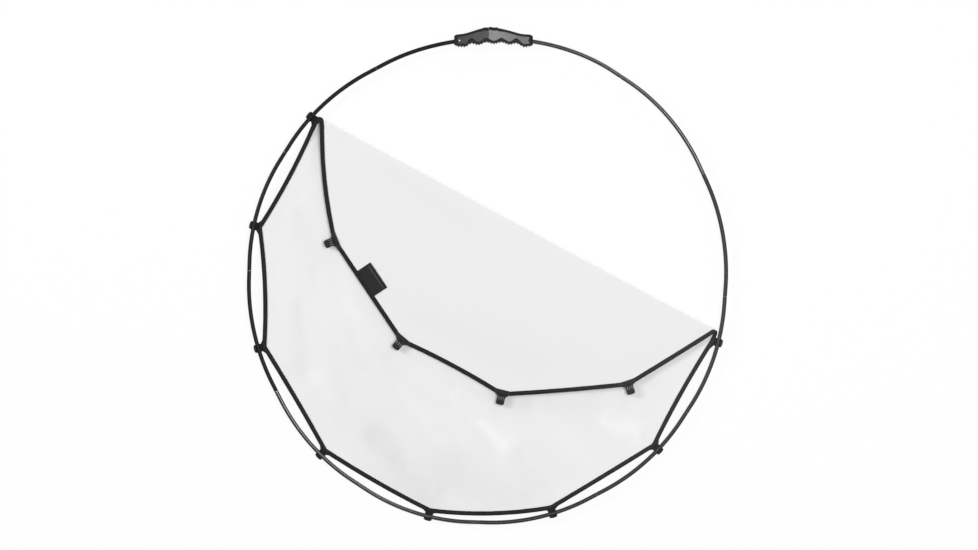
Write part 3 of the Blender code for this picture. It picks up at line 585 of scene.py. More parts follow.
def stitch_row(bm, path, up, pitch, radius, closed=False):
    """A straight row of stitches lying on a surface: up is the surface's normal."""
    points = resampled(path, pitch, closed)
    count, rise = len(points), up * radius
    for i in range(count if closed else count - 1):
        a, b = points[i], points[(i + 1) % count]
        a, b = a.lerp(b, (1 - STITCH_SHARE) / 2), b.lerp(a, (1 - STITCH_SHARE) / 2)
        thread(bm, [a - rise, a + rise * 0.8, (a + b) / 2 + rise, b + rise * 0.8, b - rise], radius)


def flat_patch(bm, outline, spacing, top, bottom):
    """A closed pad over a flat outline of 2D points: top and bottom give heights from (x, y, distance to the edge)."""
    count = len(outline)
    xs, ys = [p[0] for p in outline], [p[1] for p in outline]
    tree = key_tree([a.lerp(b, k / 4) for a, b in closed_pairs(outline) for k in range(4)])
    points = [Vector(p) for p in outline]
    for r in range(int((max(ys) - min(ys)) / spacing) + 2):
        for c in range(int((max(xs) - min(xs)) / spacing) + 3):
            p = Vector((min(xs) + (c - 0.5 * (r % 2)) * spacing, min(ys) + r * spacing))
            if inside(p, outline) and tree.find((*p, 0))[2] > spacing * 0.55:
                points.append(p)
    verts, _, faces, _, _, _ = delaunay_2d_cdt(points, [], [list(range(count))], 1, 1e-7)
    away = [0.0 if i < count else tree.find((*p, 0))[2] for i, p in enumerate(verts)]
    layer, shells, made = weave_layer(bm), [], []
    for height in (top, bottom):
        shell = [bm.verts.new((*p, height(*p, distance))) for p, distance in zip(verts, away)]
        for vert in shell:
            vert[layer] = (vert.co.x, vert.co.y, 0)
        shells.append(shell)
    for face in faces:
        made.append(bm.faces.new([shells[0][i] for i in face]))
        made.append(bm.faces.new([shells[1][i] for i in reversed(face)]))
    for i in range(count):
        j = (i + 1) % count
        made.append(bm.faces.new((shells[0][j], shells[0][i], shells[1][i], shells[1][j])))
    bmesh.ops.recalc_face_normals(bm, faces=made)


def inside(p, outline):
    """Whether a 2D point lies in an outline."""
    odd = False
    for a, b in closed_pairs(outline):
        if (a[1] > p[1]) != (b[1] > p[1]) and p[0] < a[0] + (p[1] - a[1]) / (b[1] - a[1]) * (b[0] - a[0]):
            odd = not odd
    return odd


def catmull(points, steps):
    """A smooth curve through points, open at both ends."""
    out, last = [], len(points) - 1
    for i in range(last):
        a, b, c, d = (points[max(0, min(last, i + k))] for k in (-1, 0, 1, 2))
        for t in (k / steps for k in range(steps)):
            out.append(0.5 * ((2 * b) + (c - a) * t + (2 * a - 5 * b + 4 * c - d) * t**2
                              + (3 * b - a - 3 * c + d) * t**3))
    return out + [points[-1]]


# ---- materials

RIB_HIGHLIGHT_START = 0.0075  # the stretch of a clip's back whose ribs get a painted highlight, measured round it from its bar
RIB_HIGHLIGHT_END = 0.0128
RIGHT_PALING = 0.02  # how much paler the tape and clips get towards the right
PALING_FROM_TO = (0.04, 0.36)


class Shader:
    """A procedural material and short ways to wire its nodes."""

    def __init__(self, name, colour, roughness, metallic=0.0, **sockets):
        self.material = bpy.data.materials.new(name)
        self.material.use_nodes = True
        self.tree = self.material.node_tree
        self.surface = self.tree.nodes["Principled BSDF"]
        self.output = self.tree.nodes["Material Output"]
        values = {"Base_Color": (*colour, 1), "Roughness": roughness, "Metallic": metallic, **sockets}
        for socket, value in values.items():
            self.surface.inputs[socket.replace("_", " ")].default_value = value
        self.material.diffuse_color = (*colour, 1)

    def node(self, kind, inputs=None, **settings):
        node = self.tree.nodes.new(f"ShaderNode{kind}")
        for key, value in settings.items():
            setattr(node, key, value)
        for key, value in (inputs or {}).items():
            if isinstance(value, bpy.types.NodeSocket):
                self.tree.links.new(value, node.inputs[key])
            else:
                node.inputs[key].default_value = value
        return node

    def math(self, operation, a, b=0.0, c=0.0):
        return self.node("Math", {0: a, 1: b, 2: c}, operation=operation).outputs[0]

    def times(self, a, b):
        return self.math("MULTIPLY", a, b)

    def plus(self, a, b):
        return self.math("ADD", a, b)

    def place(self):
        """A point of the piece, in metres."""
        return self.node("TexCoord").outputs["Object"]

    def place_x(self):
        return self.node("SeparateXYZ", {0: self.place()}).outputs[0]

    def stretched(self, vector, scale):
        return self.node("Mapping", {"Vector": vector, "Scale": scale}).outputs[0]

    def attribute(self, name):
        return self.node("Attribute", attribute_name=name).outputs["Fac"]

    def weave(self):
        """(along, around) of a woven or drawn piece, in metres."""
        vector = self.node("Attribute", attribute_name="weave").outputs["Vector"]
        parts = self.node("SeparateXYZ", {0: vector})
        return vector, parts.outputs[0], parts.outputs[1]

    def noise(self, scale, vector=None, detail=3.0, roughness=0.5):
        inputs = {"Vector": vector or self.place(), "Scale": scale, "Detail": detail, "Roughness": roughness}
        return self.node("TexNoise", inputs).outputs["Fac"]

    def wave(self, value, period, phase=0.0):
        """From 0 to 1 and back over each period."""
        turn = self.math("MULTIPLY_ADD", value, math.tau / period, phase)
        return self.math("MULTIPLY_ADD", self.math("SINE", turn), 0.5, 0.5)

    def range(self, value, low, high, from_low=0.0, from_high=1.0):
        return self.node("MapRange", {0: value, 1: from_low, 2: from_high, 3: low, 4: high}).outputs[0]

    def mix(self, share, a, b):
        a, b = (c if isinstance(c, bpy.types.NodeSocket) else (*c, 1) for c in (a, b))
        return self.node("Mix", {0: share, 6: a, 7: b}, data_type="RGBA").outputs[2]

    def paler_to_right(self, colour):
        """A colour that pales towards the right of the hoop."""
        paling = self.range(self.place_x(), 0, 1, *PALING_FROM_TO)
        return self.mix(paling, colour, tuple(c + RIGHT_PALING for c in colour))

    def colour(self, socket):
        self.tree.links.new(socket, self.surface.inputs["Base Color"])

    def roughness(self, socket):
        self.tree.links.new(socket, self.surface.inputs["Roughness"])

    def bump(self, height, distance, strength):
        normal = self.node("Bump", {"Height": height, "Distance": distance, "Strength": strength}).outputs[0]
        self.tree.links.new(normal, self.surface.inputs["Normal"])
        return normal

    def grained(self, grain, dark, light, rough=None, bump=None):
        """Colour, range of roughness and bump (distance, strength) that follow one grain."""
        self.colour(self.mix(grain, dark, light))
        if rough:
            self.roughness(self.range(grain, *rough))
        if bump:
            self.bump(grain, *bump)
        return self.material

    def overlaid(self, share, shader):
        """Mixes another shader over the surface."""
        both = self.node("MixShader", {0: share, 1: self.surface.outputs[0], 2: shader.outputs[0]})
        self.tree.links.new(both.outputs[0], self.output.inputs["Surface"])
        return self.material


def tube_material(name, roughness, gloss):
    """Black rod with fine drawing lines and a few rubbed marks: satin, or polished by handling."""
    s = Shader(name, (0.01, 0.01, 0.0105), roughness, Specular_IOR_Level=gloss)
    grain = s.noise(1.0, s.stretched(s.weave()[0], (60, 2600, 1)), 4)
    blotch = s.noise(38, detail=4)
    s.colour(s.mix(s.times(grain, blotch), (0.006, 0.006, 0.0065), (0.028, 0.028, 0.0285)))
    s.roughness(s.range(blotch, roughness * 0.8, roughness * 1.25))
    s.bump(grain, 0.00002, 0.4)
    return s.material


def metal_material():
    s = Shader("ferrule_metal", (0.6, 0.6, 0.62), 0.35, 1.0)
    grain = s.noise(1.0, s.stretched(s.place(), (900, 900, 120)), 3)
    return s.grained(grain, (0.5, 0.5, 0.52), (0.68, 0.68, 0.7), (0.25, 0.45), (0.00003, 0.5))


def steel_material(name, dark, light):
    s = Shader(name, light, 0.45, 1.0)
    return s.grained(s.noise(2500, detail=2), dark, light, (0.3, 0.42))


def cord_material():
    s = Shader("cord_black", (0.02, 0.02, 0.02), 0.9, Sheen_Weight=0.3)
    braid = s.node("TexVoronoi", {"Vector": s.place(), "Scale": 1800}).outputs["Distance"]
    return s.grained(braid, (0.035, 0.035, 0.035), (0.01, 0.01, 0.01), bump=(0.0002, 0.6))


def anchor_material():
    s = Shader("anchor_plastic", (0.08, 0.08, 0.08), 0.6)
    return s.grained(s.noise(1500, detail=2), (0.07, 0.07, 0.07), (0.09, 0.09, 0.09), bump=(0.00005, 0.4))


HIGHLIGHT_FROM_TO = (0.012, 0.055)  # the painted highlight's reach, from the grip's crown
MATT_RIM = 0.85


def grip_material(name, face, highlight_colour):
    """Spark-eroded plastic: a grey face on a soft black rim, with a paler painted highlight by the crown."""
    s = Shader(name, face, 0.5, Specular_IOR_Level=0.25)
    plate = s.attribute("plate")
    cloud = s.noise(55, detail=5, roughness=0.6)
    from_crown = s.math("ABSOLUTE", s.place_x())
    painted_highlight = s.times(s.range(from_crown, 1, 0, *HIGHLIGHT_FROM_TO), s.range(cloud, 0.6, 1.1, 0.35, 0.7))
    rim_colour = s.mix(cloud, (0.009, 0.009, 0.0095), (0.02, 0.02, 0.021))
    s.colour(s.mix(plate, rim_colour, s.mix(painted_highlight, face, highlight_colour)))
    s.roughness(s.math("MULTIPLY_ADD", plate, s.range(cloud, 0.42 - MATT_RIM, 0.6 - MATT_RIM), MATT_RIM))
    s.bump(s.noise(2600, detail=2), 0.00006, 0.5)
    return s.material


def rubber_material():
    s = Shader("grip_rubber", (0.01, 0.01, 0.01), 0.6, Specular_IOR_Level=0.4)
    s.bump(s.noise(3000, detail=2), 0.00005, 0.5)
    return s.grained(s.noise(120, detail=4), (0.007, 0.007, 0.007), (0.022, 0.022, 0.022), (0.5, 0.75))


CLOTH_FRONT = (0.784, 0.785, 0.793)
# The flap's face is painted a little paler than the fitted part's: painted light for what the layer below holds back.
CLOTH_BACK_PAINTED_PALER = (0.828, 0.828, 0.832)
CLOTH_THROUGH = 0.1  # share of the light that the cloth lets through


def cloth_material():
    """White diffuser nylon: a plain weave with a heavier thread every few millimetres, letting some light through."""
    s = Shader("white_fabric", (0.86, 0.86, 0.865), 0.75, Sheen_Weight=0.05, Specular_IOR_Level=0.25)
    vector, u, v = s.weave()
    warp, weft = s.wave(u, 0.00055), s.wave(v, 0.00055)
    heavy = s.math("MAXIMUM", s.math("POWER", s.wave(u, 0.005), 24), s.math("POWER", s.wave(v, 0.005), 24))
    cloud = s.noise(14, vector, 4)
    fine = s.noise(700, vector, 2)
    # Painted shade and light from the creases, kept in a vertex attribute, on both faces.
    painted_shade = s.range(s.attribute("painted_shade"), 0, 1, -PAINTED_SHADE_RANGE, PAINTED_SHADE_RANGE)
    front, back = (s.mix(painted_shade, *(tuple(c * share for c in white) for share in (1 - PAINTED_SHADE_RANGE, 1 + PAINTED_SHADE_RANGE)))
                   for white in (CLOTH_FRONT, CLOTH_BACK_PAINTED_PALER))
    body = s.mix(s.math("GREATER_THAN", v, 0.0), back, front)
    # The fold's roll is painted nearly white: painted light where its sides turn away from the lamps.
    painted_roll_light = s.range(s.math("ABSOLUTE", v), 1, 0, 0.0024, 0.0045)
    body = s.mix(painted_roll_light, body, (0.97, 0.97, 0.973))
    threads = s.mix(s.times(heavy, 0.22), body, (0.80, 0.80, 0.806))
    s.colour(s.mix(s.times(fine, 0.15), threads, (0.87, 0.87, 0.875)))
    weave = s.plus(s.times(warp, weft), s.times(heavy, 0.6))
    normal = s.bump(weave, 0.00005, 0.35)
    s.roughness(s.range(cloud, 0.68, 0.8))
    through = s.node("BsdfTranslucent", {"Color": (0.8, 0.8, 0.81, 1), "Normal": normal})
    return s.overlaid(CLOTH_THROUGH, through)


def tape_shader(name):
    return Shader(name, (0.012, 0.012, 0.0125), 0.9, Sheen_Weight=0.06, Specular_IOR_Level=0.2)


def elastic_material():
    """Knitted elastic tape: ribs along it, crossed by a slanting weft."""
    s = tape_shader("elastic")
    vector, along, around = s.weave()
    ribs = s.wave(around, 0.0009)
    twill = s.wave(s.plus(along, s.times(around, 0.8)), 0.0013)
    cloud = s.noise(90, vector, 3)
    knit = s.times(ribs, twill)
    s.colour(s.mix(s.times(s.plus(knit, 0.15), s.range(cloud, 0.5, 1.3)),
                   s.paler_to_right((0.006, 0.006, 0.0063)), s.paler_to_right((0.030, 0.030, 0.031))))
    s.bump(knit, 0.0002, 0.8)
    return s.material


def webbing_material():
    """Twill patch and loops at the clips."""
    s = tape_shader("webbing")
    vector, along, around = s.weave()
    twill = s.wave(s.plus(along, around), 0.0011)
    cross = s.wave(s.math("SUBTRACT", along, around), 0.0011)
    cloud = s.noise(130, vector, 3)
    knit = s.math("MAXIMUM", twill, s.times(cross, 0.6))
    s.colour(s.mix(s.times(knit, s.range(cloud, 0.3, 1.1)),
                   s.paler_to_right((0.010, 0.010, 0.0103)), s.paler_to_right((0.052, 0.052, 0.053))))
    s.bump(knit, 0.0002, 0.8)
    return s.material


def thread_material():
    s = Shader("sewing_thread", (0.05, 0.05, 0.052), 0.7, Specular_IOR_Level=0.3)
    return s.grained(s.noise(2200, detail=2), (0.03, 0.03, 0.031), (0.09, 0.09, 0.092), bump=(0.00005, 0.6))


def clip_material():
    """Glass-filled nylon, with a paler painted highlight on the grip ribs of its back."""
    s = Shader("clip_plastic", (0.008, 0.008, 0.008), 0.6, Specular_IOR_Level=0.16)
    _, along, around = s.weave()
    cloud = s.noise(160, detail=4)
    ribs = s.math("POWER", s.wave(along, BACK_RIBS[1] - BACK_RIBS[0], math.pi / 2), 3)
    on_back = s.times(s.math("GREATER_THAN", around, RIB_HIGHLIGHT_START), s.math("LESS_THAN", around, RIB_HIGHLIGHT_END))
    # A painted highlight on the back ribs.
    rib_highlight = s.times(s.times(ribs, on_back), s.range(cloud, 0.4, 1.0, 0.3, 0.7))
    plain = s.mix(cloud, s.paler_to_right((0.010, 0.010, 0.010)), s.paler_to_right((0.030, 0.030, 0.0305)))
    s.colour(s.mix(rib_highlight, plain, (0.24, 0.24, 0.243)))
    s.roughness(s.range(cloud, 0.5, 0.66))
    s.bump(s.noise(2800, detail=2), 0.00004, 0.4)
    return s.material


def label_material():
    """Black satin label, woven with a plain border line along its free edge."""
    s = Shader("label_black", (0.014, 0.014, 0.015), 0.75, Sheen_Weight=0.05, Specular_IOR_Level=0.25)
    vector, along, around = s.weave()
    satin = s.wave(s.plus(along, s.times(around, 3)), 0.0008)
    rows = s.wave(around, 0.00045)
    cloud = s.noise(70, vector, 4)
    ground = s.mix(s.times(satin, s.range(cloud, 0.4, 1.2)), (0.009, 0.009, 0.01), (0.026, 0.026, 0.028))
    line = s.math("COMPARE", around, LABEL_LINE_PLACE, LABEL_LINE_WIDTH / 2)
    within = s.math("LESS_THAN", s.math("ABSOLUTE", along), LABEL_LENGTH / 2 - LABEL_LINE_MARGIN)
    line = s.times(line, within)
    s.colour(s.mix(s.times(line, s.range(rows, 0.6, 1.0)), ground, (0.12, 0.12, 0.126)))
    s.bump(s.plus(rows, s.times(satin, 0.4)), 0.00015, 0.6)
    return s.material


def floor_material():
    """White paper. Rays that see it directly take most of its white from emission, so that only a soft shadow shows."""
    s = Shader("studio_floor", (0.9, 0.9, 0.9), 0.9)
    s.colour(s.mix(s.noise(3), (0.895, 0.895, 0.895), (0.905, 0.905, 0.905)))
    path = s.node("LightPath")
    seen = s.math("MAXIMUM", path.outputs["Is Camera Ray"],
                  s.math("MAXIMUM", path.outputs["Is Glossy Ray"], path.outputs["Is Transmission Ray"]))
    white = s.node("Emission", {"Color": (1, 1, 1, 1), "Strength": 1.0})
    return s.overlaid(s.times(seen, FLOOR_WHITE_SHARE), white)


# ---- tubes

TUBE_FINE_SIDES = 28
TUBE_FINE_BENDS = 34
TUBE_CHAMFER = 0.00022


def round_ring(point, way, radius):
    side = across(way).normalized()
    return circle(point, side, side.cross(way), radius, TUBE_FINE_SIDES)


def make_tube(number, body):
    path = section_path(number, TUBE_FINE_BENDS)
    ways = path_ways(path)
    start, end = ways[0] * TUBE_CHAMFER, ways[-1] * TUBE_CHAMFER
    path = [path[0], path[0] + start, *path[1:-1], path[-1] - end, path[-1]]
    ways = [ways[0], *ways, ways[-1]]
    radii = [TUBE_RADIUS] * len(path)
    radii[0] = radii[-1] = TUBE_RADIUS - TUBE_CHAMFER
    outer = [round_ring(p, way, radius) for p, way, radius in zip(path, ways, radii)]
    bore = [round_ring(p, way, TUBE_RADIUS - TUBE_WALL) for p, way in zip(path[::-1], ways[::-1])]
    run = lengths(path)
    around = [TUBE_RADIUS * math.tau * k / TUBE_FINE_SIDES for k in range(TUBE_FINE_SIDES)]
    bm = lofted(outer + bore, along=run + run[::-1], around=around, closed=True)
    name = f"tube_{number + 1:02d}"
    tube = finish_mesh(f"hoop_{name}", bm, TUBE_FINISHES.get(number + 1, TUBE_SATIN), 35)
    claim(tube, body, "tube_black", name)


def make_tubes():
    for number in range(SECTIONS):
        arm = number - (SECTIONS - RIGHT_ARMS) + 1
        make_tube(number, "left_arm" if number == 0 else f"right_arm_{arm}" if arm > 0 else "frame_base")


# ---- grip

PLATE_STEP = 0.00035  # how far the grip's face stands over its rim
PLATE_END = 0.0052
PLATE_RAMP = 0.0008
RIM_STEPS = 7
FACE_STEPS = 6
END_STEPS = 11
GRIP_FINE_STEP = 0.001
SEAM_CHAMFER = 0.00012
KNURL_PITCH = 0.0050
KNURL_HEIGHT = 0.0011

SHOULDER_PLACE = 0.041  # the fuller slope from the crown to the right end
SHOULDER_RISE = 0.0019
SHOULDER_REACH = 0.017
CROWN_RIM = 0.25  # how much wider the rim is by the thumb ribs
PAD_RIM = 0.6  # how wide the rim is under the finger pads, against the rim elsewhere
CROWN_RIM_REACH = (0.012, 0.024)


def fine_ring(s, inset=0.0):
    """The grip's section at s: a flat face on both sides, on a rim with round edges."""
    from_end = grip_end(s)[1]
    depth = grip_depth(s) - inset
    left = max(0.0, 1 - from_end / GRIP_END_ROUND)
    draw = GRIP_END_FULLNESS + (1 - GRIP_END_FULLNESS) * math.sqrt(1 - left**2)
    shoulder = SHOULDER_RISE * math.exp(-((s - SHOULDER_PLACE) / SHOULDER_REACH) ** 2)
    top, bottom, r = grip_top(s) + shoulder - inset, grip_bottom(s) + inset, GRIP_EDGE_RADIUS
    round_top = r * (1 + CROWN_RIM * (1 - smoothstep(*CROWN_RIM_REACH, abs(s - CROWN_PLACE))))
    plate = depth - PLATE_STEP + PLATE_STEP * smoothstep(PLATE_END, PLATE_END + PLATE_RAMP, from_end)
    rim = depth - PLATE_STEP
    side = []
    for k in range(RIM_STEPS + 1):
        turn = math.radians(-90 + 90 * k / RIM_STEPS)
        side.append((rim - r + r * math.cos(turn), bottom + (r + r * math.sin(turn)) * PAD_RIM))
    low, high = bottom + r * PAD_RIM + PLATE_STEP, top - round_top - PLATE_STEP
    side += [(plate, low + PLATE_STEP * 0.4)]
    side += [(plate, low + (high - low) * k / FACE_STEPS) for k in range(1, FACE_STEPS)]
    side += [(plate, high - PLATE_STEP * 0.4)]
    for turn in quarter(RIM_STEPS):
        side.append((rim - round_top + round_top * math.cos(turn), top - round_top + round_top * math.sin(turn)))
    axis = socket_v(s)
    ring = side + [(-z, v) for z, v in reversed(side)]
    return [grip_point(s, axis + (v - axis) * draw, z * draw) for z, v in ring]


def mark_plate(half):
    """Tells the grip's flat faces from its rim."""
    values = []
    for vert in half.data.vertices:
        place = vert.co - ROOT_PLACE - GRIP_ORIGIN
        values.append(float(abs(place.z) > grip_depth(place.dot(GRIP_ALONG)) - PLATE_STEP / 2))
    half.data.attributes.new("plate", "FLOAT", "POINT").data.foreach_set("value", values)


def grip_stations(start, seam, inward):
    end = [start + inward * GRIP_END_ROUND * (1 - math.cos(turn)) for turn in quarter(END_STEPS)[:-1]]
    return end + stations(start + inward * GRIP_END_ROUND, seam - inward * SEAM_CHAMFER, GRIP_FINE_STEP)


def grip_pin(place, outline, sides):
    """A round pin that stands in the grip, drawn from (radius, height) pairs."""
    turns = [math.tau * k / sides for k in range(sides)]
    return lofted([[place + GRIP_ALONG * radius * math.cos(turn) + GRIP_OUT * radius * math.sin(turn) + UP * z
                    for turn in turns] for radius, z in outline])


def prism_mesh(outline, low, high):
    return lofted([[p + UP * z for p in outline] for z in (low, high)])


def groove_mesh(start, end):
    rings, half = [], STRIP_HALF_WIDTH
    for s in stations(start, end, GRIP_FINE_STEP):
        inner, outer = grip_bottom(s) + STRIP_DEPTH, finger_line(s) - GRIP_EDGE_RADIUS
        rings.append([grip_point(s, v, z) for v, z in
                      ((inner, half), (inner, -half), (outer, -half), (outer, half))])
    return lofted(rings)


SEAM_SHOWN = 0.0004  # the seam between the halves as it shows, and the locating lip inside it
SEAM_TONGUE = 0.0010
SEAM_TONGUE_INSET = 0.0009
SEAM_TONGUE_PLAY = 0.0001


def make_grip_half(side, start, seam, mouth, screw_margin, body, material):
    inward = 1 if start < seam else -1
    rings = [fine_ring(s) for s in grip_stations(start, seam, inward)] + [fine_ring(seam, SEAM_CHAMFER)]
    half = finish_mesh(f"grip_{side}_shell", lofted(rings), material)
    if side == "right":
        tongue = fine_ring(seam + SEAM_TONGUE, SEAM_TONGUE_INSET)
        reach = GRIP_ALONG * (2 * seam + SEAM_TONGUE - SEAM_TONGUE_PLAY)
        cut(half, lofted([tongue, [p - reach for p in tongue]]), "UNION")
    cut(half, groove_mesh(start + inward * STRIP_END_MARGIN, seam + inward * CUTTER_MARGIN))
    way = -inward * hoop_tangent(mouth)
    bore = [hoop_point(mouth) - way * GRIP_END_ROUND, hoop_point(mouth) + way * (SOCKET_DEPTH + JOINT_GAP)]
    cut(half, lofted([round_ring(p, way, TUBE_RADIUS + SOCKET_PLAY) for p in bore]))
    screw = start + inward * screw_margin
    place = grip_point(screw, socket_v(screw), 0)
    ends = TUBE_RADIUS / 2, GRIP_HALF_DEPTH + CUTTER_MARGIN
    cut(half, grip_pin(place, [(SCREW_RADIUS + SCREW_PLAY, z) for z in ends], 24))
    low = -GRIP_HALF_DEPTH + TEE_SET_BACK
    high = low + TEE_HEIGHT
    if side == "left":
        slot = tee_outline(TEE_PLAY_ALONG, TEE_PLAY_ACROSS, CUTTER_MARGIN)
        cut(half, prism_mesh(slot, -GRIP_HALF_DEPTH - CUTTER_MARGIN, high + TEE_PLAY_ALONG))
    else:
        cut(half, prism_mesh(tee_outline(0, 0, SEAM_GAP / 2 + TEE_ROOT), low, high), "UNION")
    resharpen(half, 32)
    mark_plate(half)
    claim(half, body, "grip_plastic", f"grip_{side}_half")
    make_strip(side, start + inward * PAD_END_MARGIN, seam + inward * (SEAM_SHOWN / 2 - PAD_SEAM_GAP), body)
    make_screw(side, place, body)


STRIP_FINE_STEP = 0.0005
PAD_END_MARGIN = 0.0028
PAD_SEAM_GAP = 0.00002
PAD_END_LIFT = {"left": 0.0006, "right": 0.0018}  # how far the pad's outer end draws in
PAD_END_LIFT_REACH = 0.011
PAD_DEPTH = 0.0049  # how far the rubber reaches from its edge onto the grip's faces
PAD_STAND = 0.0003  # how far it stands over the rim
PAD_FILL = 0.46  # share of the scallops that the rubber fills
PAD_ROUND = 0.0036
PAD_END_RAMP = 0.0024
PAD_END_STEP = 0.0012  # how far the pad's ends lie under its face
PAD_PLAIN_EDGE = (0.0009, 0.0022)  # studs grow between these distances from the pad's edge
PAD_ROUND_STEPS = 9
PAD_ACROSS_STEPS = 44


def pad_line(s):
    """The rubber's outer line: scallops as deep as the fingers need."""
    line = finger_line(s)
    return line + min(0.0, finger_row(s)[2] - line) * PAD_FILL


def make_strip(side, start, end, body):
    """Rubber finger pad, moulded round the grip's inner edge and knurled with rows of small studs."""
    rings, places = [], stations(start, end, STRIP_FINE_STEP)
    for i, s in enumerate(places):
        depth = grip_depth(s) - PLATE_STEP + PAD_STAND
        ends = smoothstep(0, PAD_END_RAMP, i * STRIP_FINE_STEP)
        lift = PAD_END_LIFT[side] * smoothstep(PAD_END_LIFT_REACH, 0, abs(s - start))
        line, r = pad_line(s) + lift + PAD_END_STEP * (1 - ends), PAD_ROUND
        contour, flat = [(depth, line + PAD_DEPTH)], depth - r
        contour += [(flat + r * math.cos(turn), line + r - r * math.sin(turn)) for turn in quarter(PAD_ROUND_STEPS)]
        contour += [(flat - 2 * flat * k / PAD_ACROSS_STEPS, line) for k in range(1, PAD_ACROSS_STEPS)]
        contour += [(-z, v) for z, v in reversed(contour[:PAD_ROUND_STEPS + 2])]
        run, ring = flat_lengths(contour), []
        ridge = max(0.0, math.cos(math.tau * (s - FINGER_PLACE) / KNURL_PITCH))
        for k, (z, v) in enumerate(contour):
            reach = (run[k] - run[-1] / 2) / KNURL_PITCH
            stud = ridge * (0.8 + 0.2 * math.cos(math.tau * reach))
            away = smoothstep(*PAD_PLAIN_EDGE, min(run[k], run[-1] - run[k]))
            rise = KNURL_HEIGHT * (1.6 * math.sqrt(stud) - 1) * ends * away
            before, after = contour[max(0, k - 1)], contour[min(len(contour) - 1, k + 1)]
            way = Vector((after[0] - before[0], after[1] - before[1])).normalized()
            ring.append(grip_point(s, v + way.x * rise, z - way.y * rise))
        rings.append(ring)
    claim(finish_mesh(f"finger_pad_{side}", lofted(rings), GRIP_RUBBER, 50), body, "grip_rubber",
          f"finger_strip_{side}")


SCREW_CHAMFER = 0.0003


def make_screw(side, place, body):
    """Slotted grub screw with a turned edge."""
    bottom, top = TUBE_RADIUS + SCREW_PLAY, GRIP_HALF_DEPTH - GRIP_END_TAPER - SCREW_SINK
    outline = ((SCREW_RADIUS - SCREW_CHAMFER, bottom), (SCREW_RADIUS, bottom + SCREW_CHAMFER),
               (SCREW_RADIUS, top - SCREW_CHAMFER), (SCREW_RADIUS - SCREW_CHAMFER, top))
    screw = finish_mesh(f"set_screw_{side}", grip_pin(place, outline, 32), STEEL if side == "left" else STEEL_PAINTED_DARK)
    half, reach = SCREW_SLOT_WIDTH / 2, SCREW_RADIUS + CUTTER_MARGIN
    slot = grip_plan(place, [(-reach, -half), (reach, -half), (reach, half), (-reach, half)])
    cut(screw, prism_mesh(slot, top - SCREW_SLOT_DEPTH, top + CUTTER_MARGIN))
    resharpen(screw, 30)
    claim(screw, body, "steel", f"grub_screw_{side}")


def make_grip():
    seam, last_arm = SEAM_SHOWN / 2, f"right_arm_{RIGHT_ARMS}"
    make_grip_half("left", -GRIP_LEFT_LENGTH, -seam, LEFT_MOUTH, SCREW_LEFT_MARGIN, "left_arm", GRIP_LEFT)
    make_grip_half("right", GRIP_RIGHT_LENGTH, seam, RIGHT_MOUTH, SCREW_RIGHT_MARGIN, last_arm, GRIP_RIGHT)


# ---- the cloth's edge

FINE_SPAN_STEPS = 24
EDGE_STEP = 0.0013
EDGE_RADIUS = (FLAP_HEIGHT - PANEL_HEIGHT) / 2
EDGE_SOFTENING = 3  # passes that round the path where clips pull it into corners

TAPE_WIDTH = 0.0074
TAPE_BUNCH_THICKNESS = (2.6, 0.5)  # how much thicker the tape gets where it is pulled together over the fold's ends
TAPE_BUNCH_WIDTH = 0.08
FLAP_ROOT = (0.0079, 0.0070)  # where the flap's edge leaves the fold's left end: along it and inside it
FLAP_ROOT_BOW = 0.002


# How the edge turns over the fold's ends: its leg below, the turn's start, stop (both along the fold) and middle
# (inside it), and its leg above. Places are (along the fold inwards, inside the fold).
TURN_RIGHT = (((-0.0049, 0.0105), (-0.0040, 0.0052)), (-0.0030, 0.0010, 0.0018), ((0.0021, 0.0038),))
TURN_LEFT = (((-0.0047, 0.0070), (-0.0040, 0.0040)), (-0.0030, 0.0040, 0.0027), ((0.0056, 0.0040), (0.0068, 0.0070)))
TURN_STEPS = [math.radians(angle) for angle in range(-75, 76, 30)]
TURN_FINE_STEPS = 6


def over_fold(end, side, leg_below, turn, leg_above):
    """Points over the fold near its end, from the fitted part to the flap: a short leg, half a turn, a short leg."""
    start, stop, middle = turn
    places = [(*place, PANEL_HEIGHT) for place in leg_below]
    for angle in TURN_STEPS:
        share = (math.sin(angle) / math.sin(TURN_STEPS[-1]) + 1) / 2
        places.append((start + (stop - start) * share, middle - EDGE_RADIUS * math.cos(angle),
                       FOLD_HEIGHT + EDGE_RADIUS * math.sin(angle)))
    places += [(*place, FLAP_HEIGHT) for place in leg_above]
    return [end + FOLD_WAY * side * a + FOLD_IN * b + UP * z for a, b, z in places]


def edge_path():
    """Centre of the elastic edge right round the cloth: the fitted part anticlockwise, over the fold at its right
    end, back along the flap, and over the fold at its left end."""
    fitted = bowed(fitted_corners(), PANEL_BOWS, FINE_SPAN_STEPS)
    start = FOLD_A + FOLD_WAY * FLAP_ROOT[0] + FOLD_IN * FLAP_ROOT[1]
    end = flap_start(FOLD_B) - FOLD_WAY * FLAP_END_INSET
    bows = (FLAP_BOWS[0] + FLAP_ROOT_BOW, *FLAP_BOWS[1:])
    flap = bowed([start, *FLAP_POINTS, end], bows, FINE_SPAN_STEPS)
    fitted = [p + UP * PANEL_HEIGHT for p in fitted]
    flap = [p + UP * FLAP_HEIGHT for p in flap[::-1]]
    right = over_fold(FOLD_B, -1, *TURN_RIGHT)
    left = over_fold(FOLD_A, 1, *TURN_LEFT)[::-1]
    ring = fitted + catmull([fitted[-1], *right, flap[0]], TURN_FINE_STEPS)[1:-1] + flap
    ring += catmull([flap[-1], *left, fitted[0]], TURN_FINE_STEPS)[1:-1]
    ring = resampled(ring, EDGE_STEP, closed=True)
    for _ in range(EDGE_SOFTENING):
        count = len(ring)
        ring = [ring[i] * 0.5 + (ring[i - 1] + ring[(i + 1) % count]) * 0.25 for i in range(count)]
    return ring


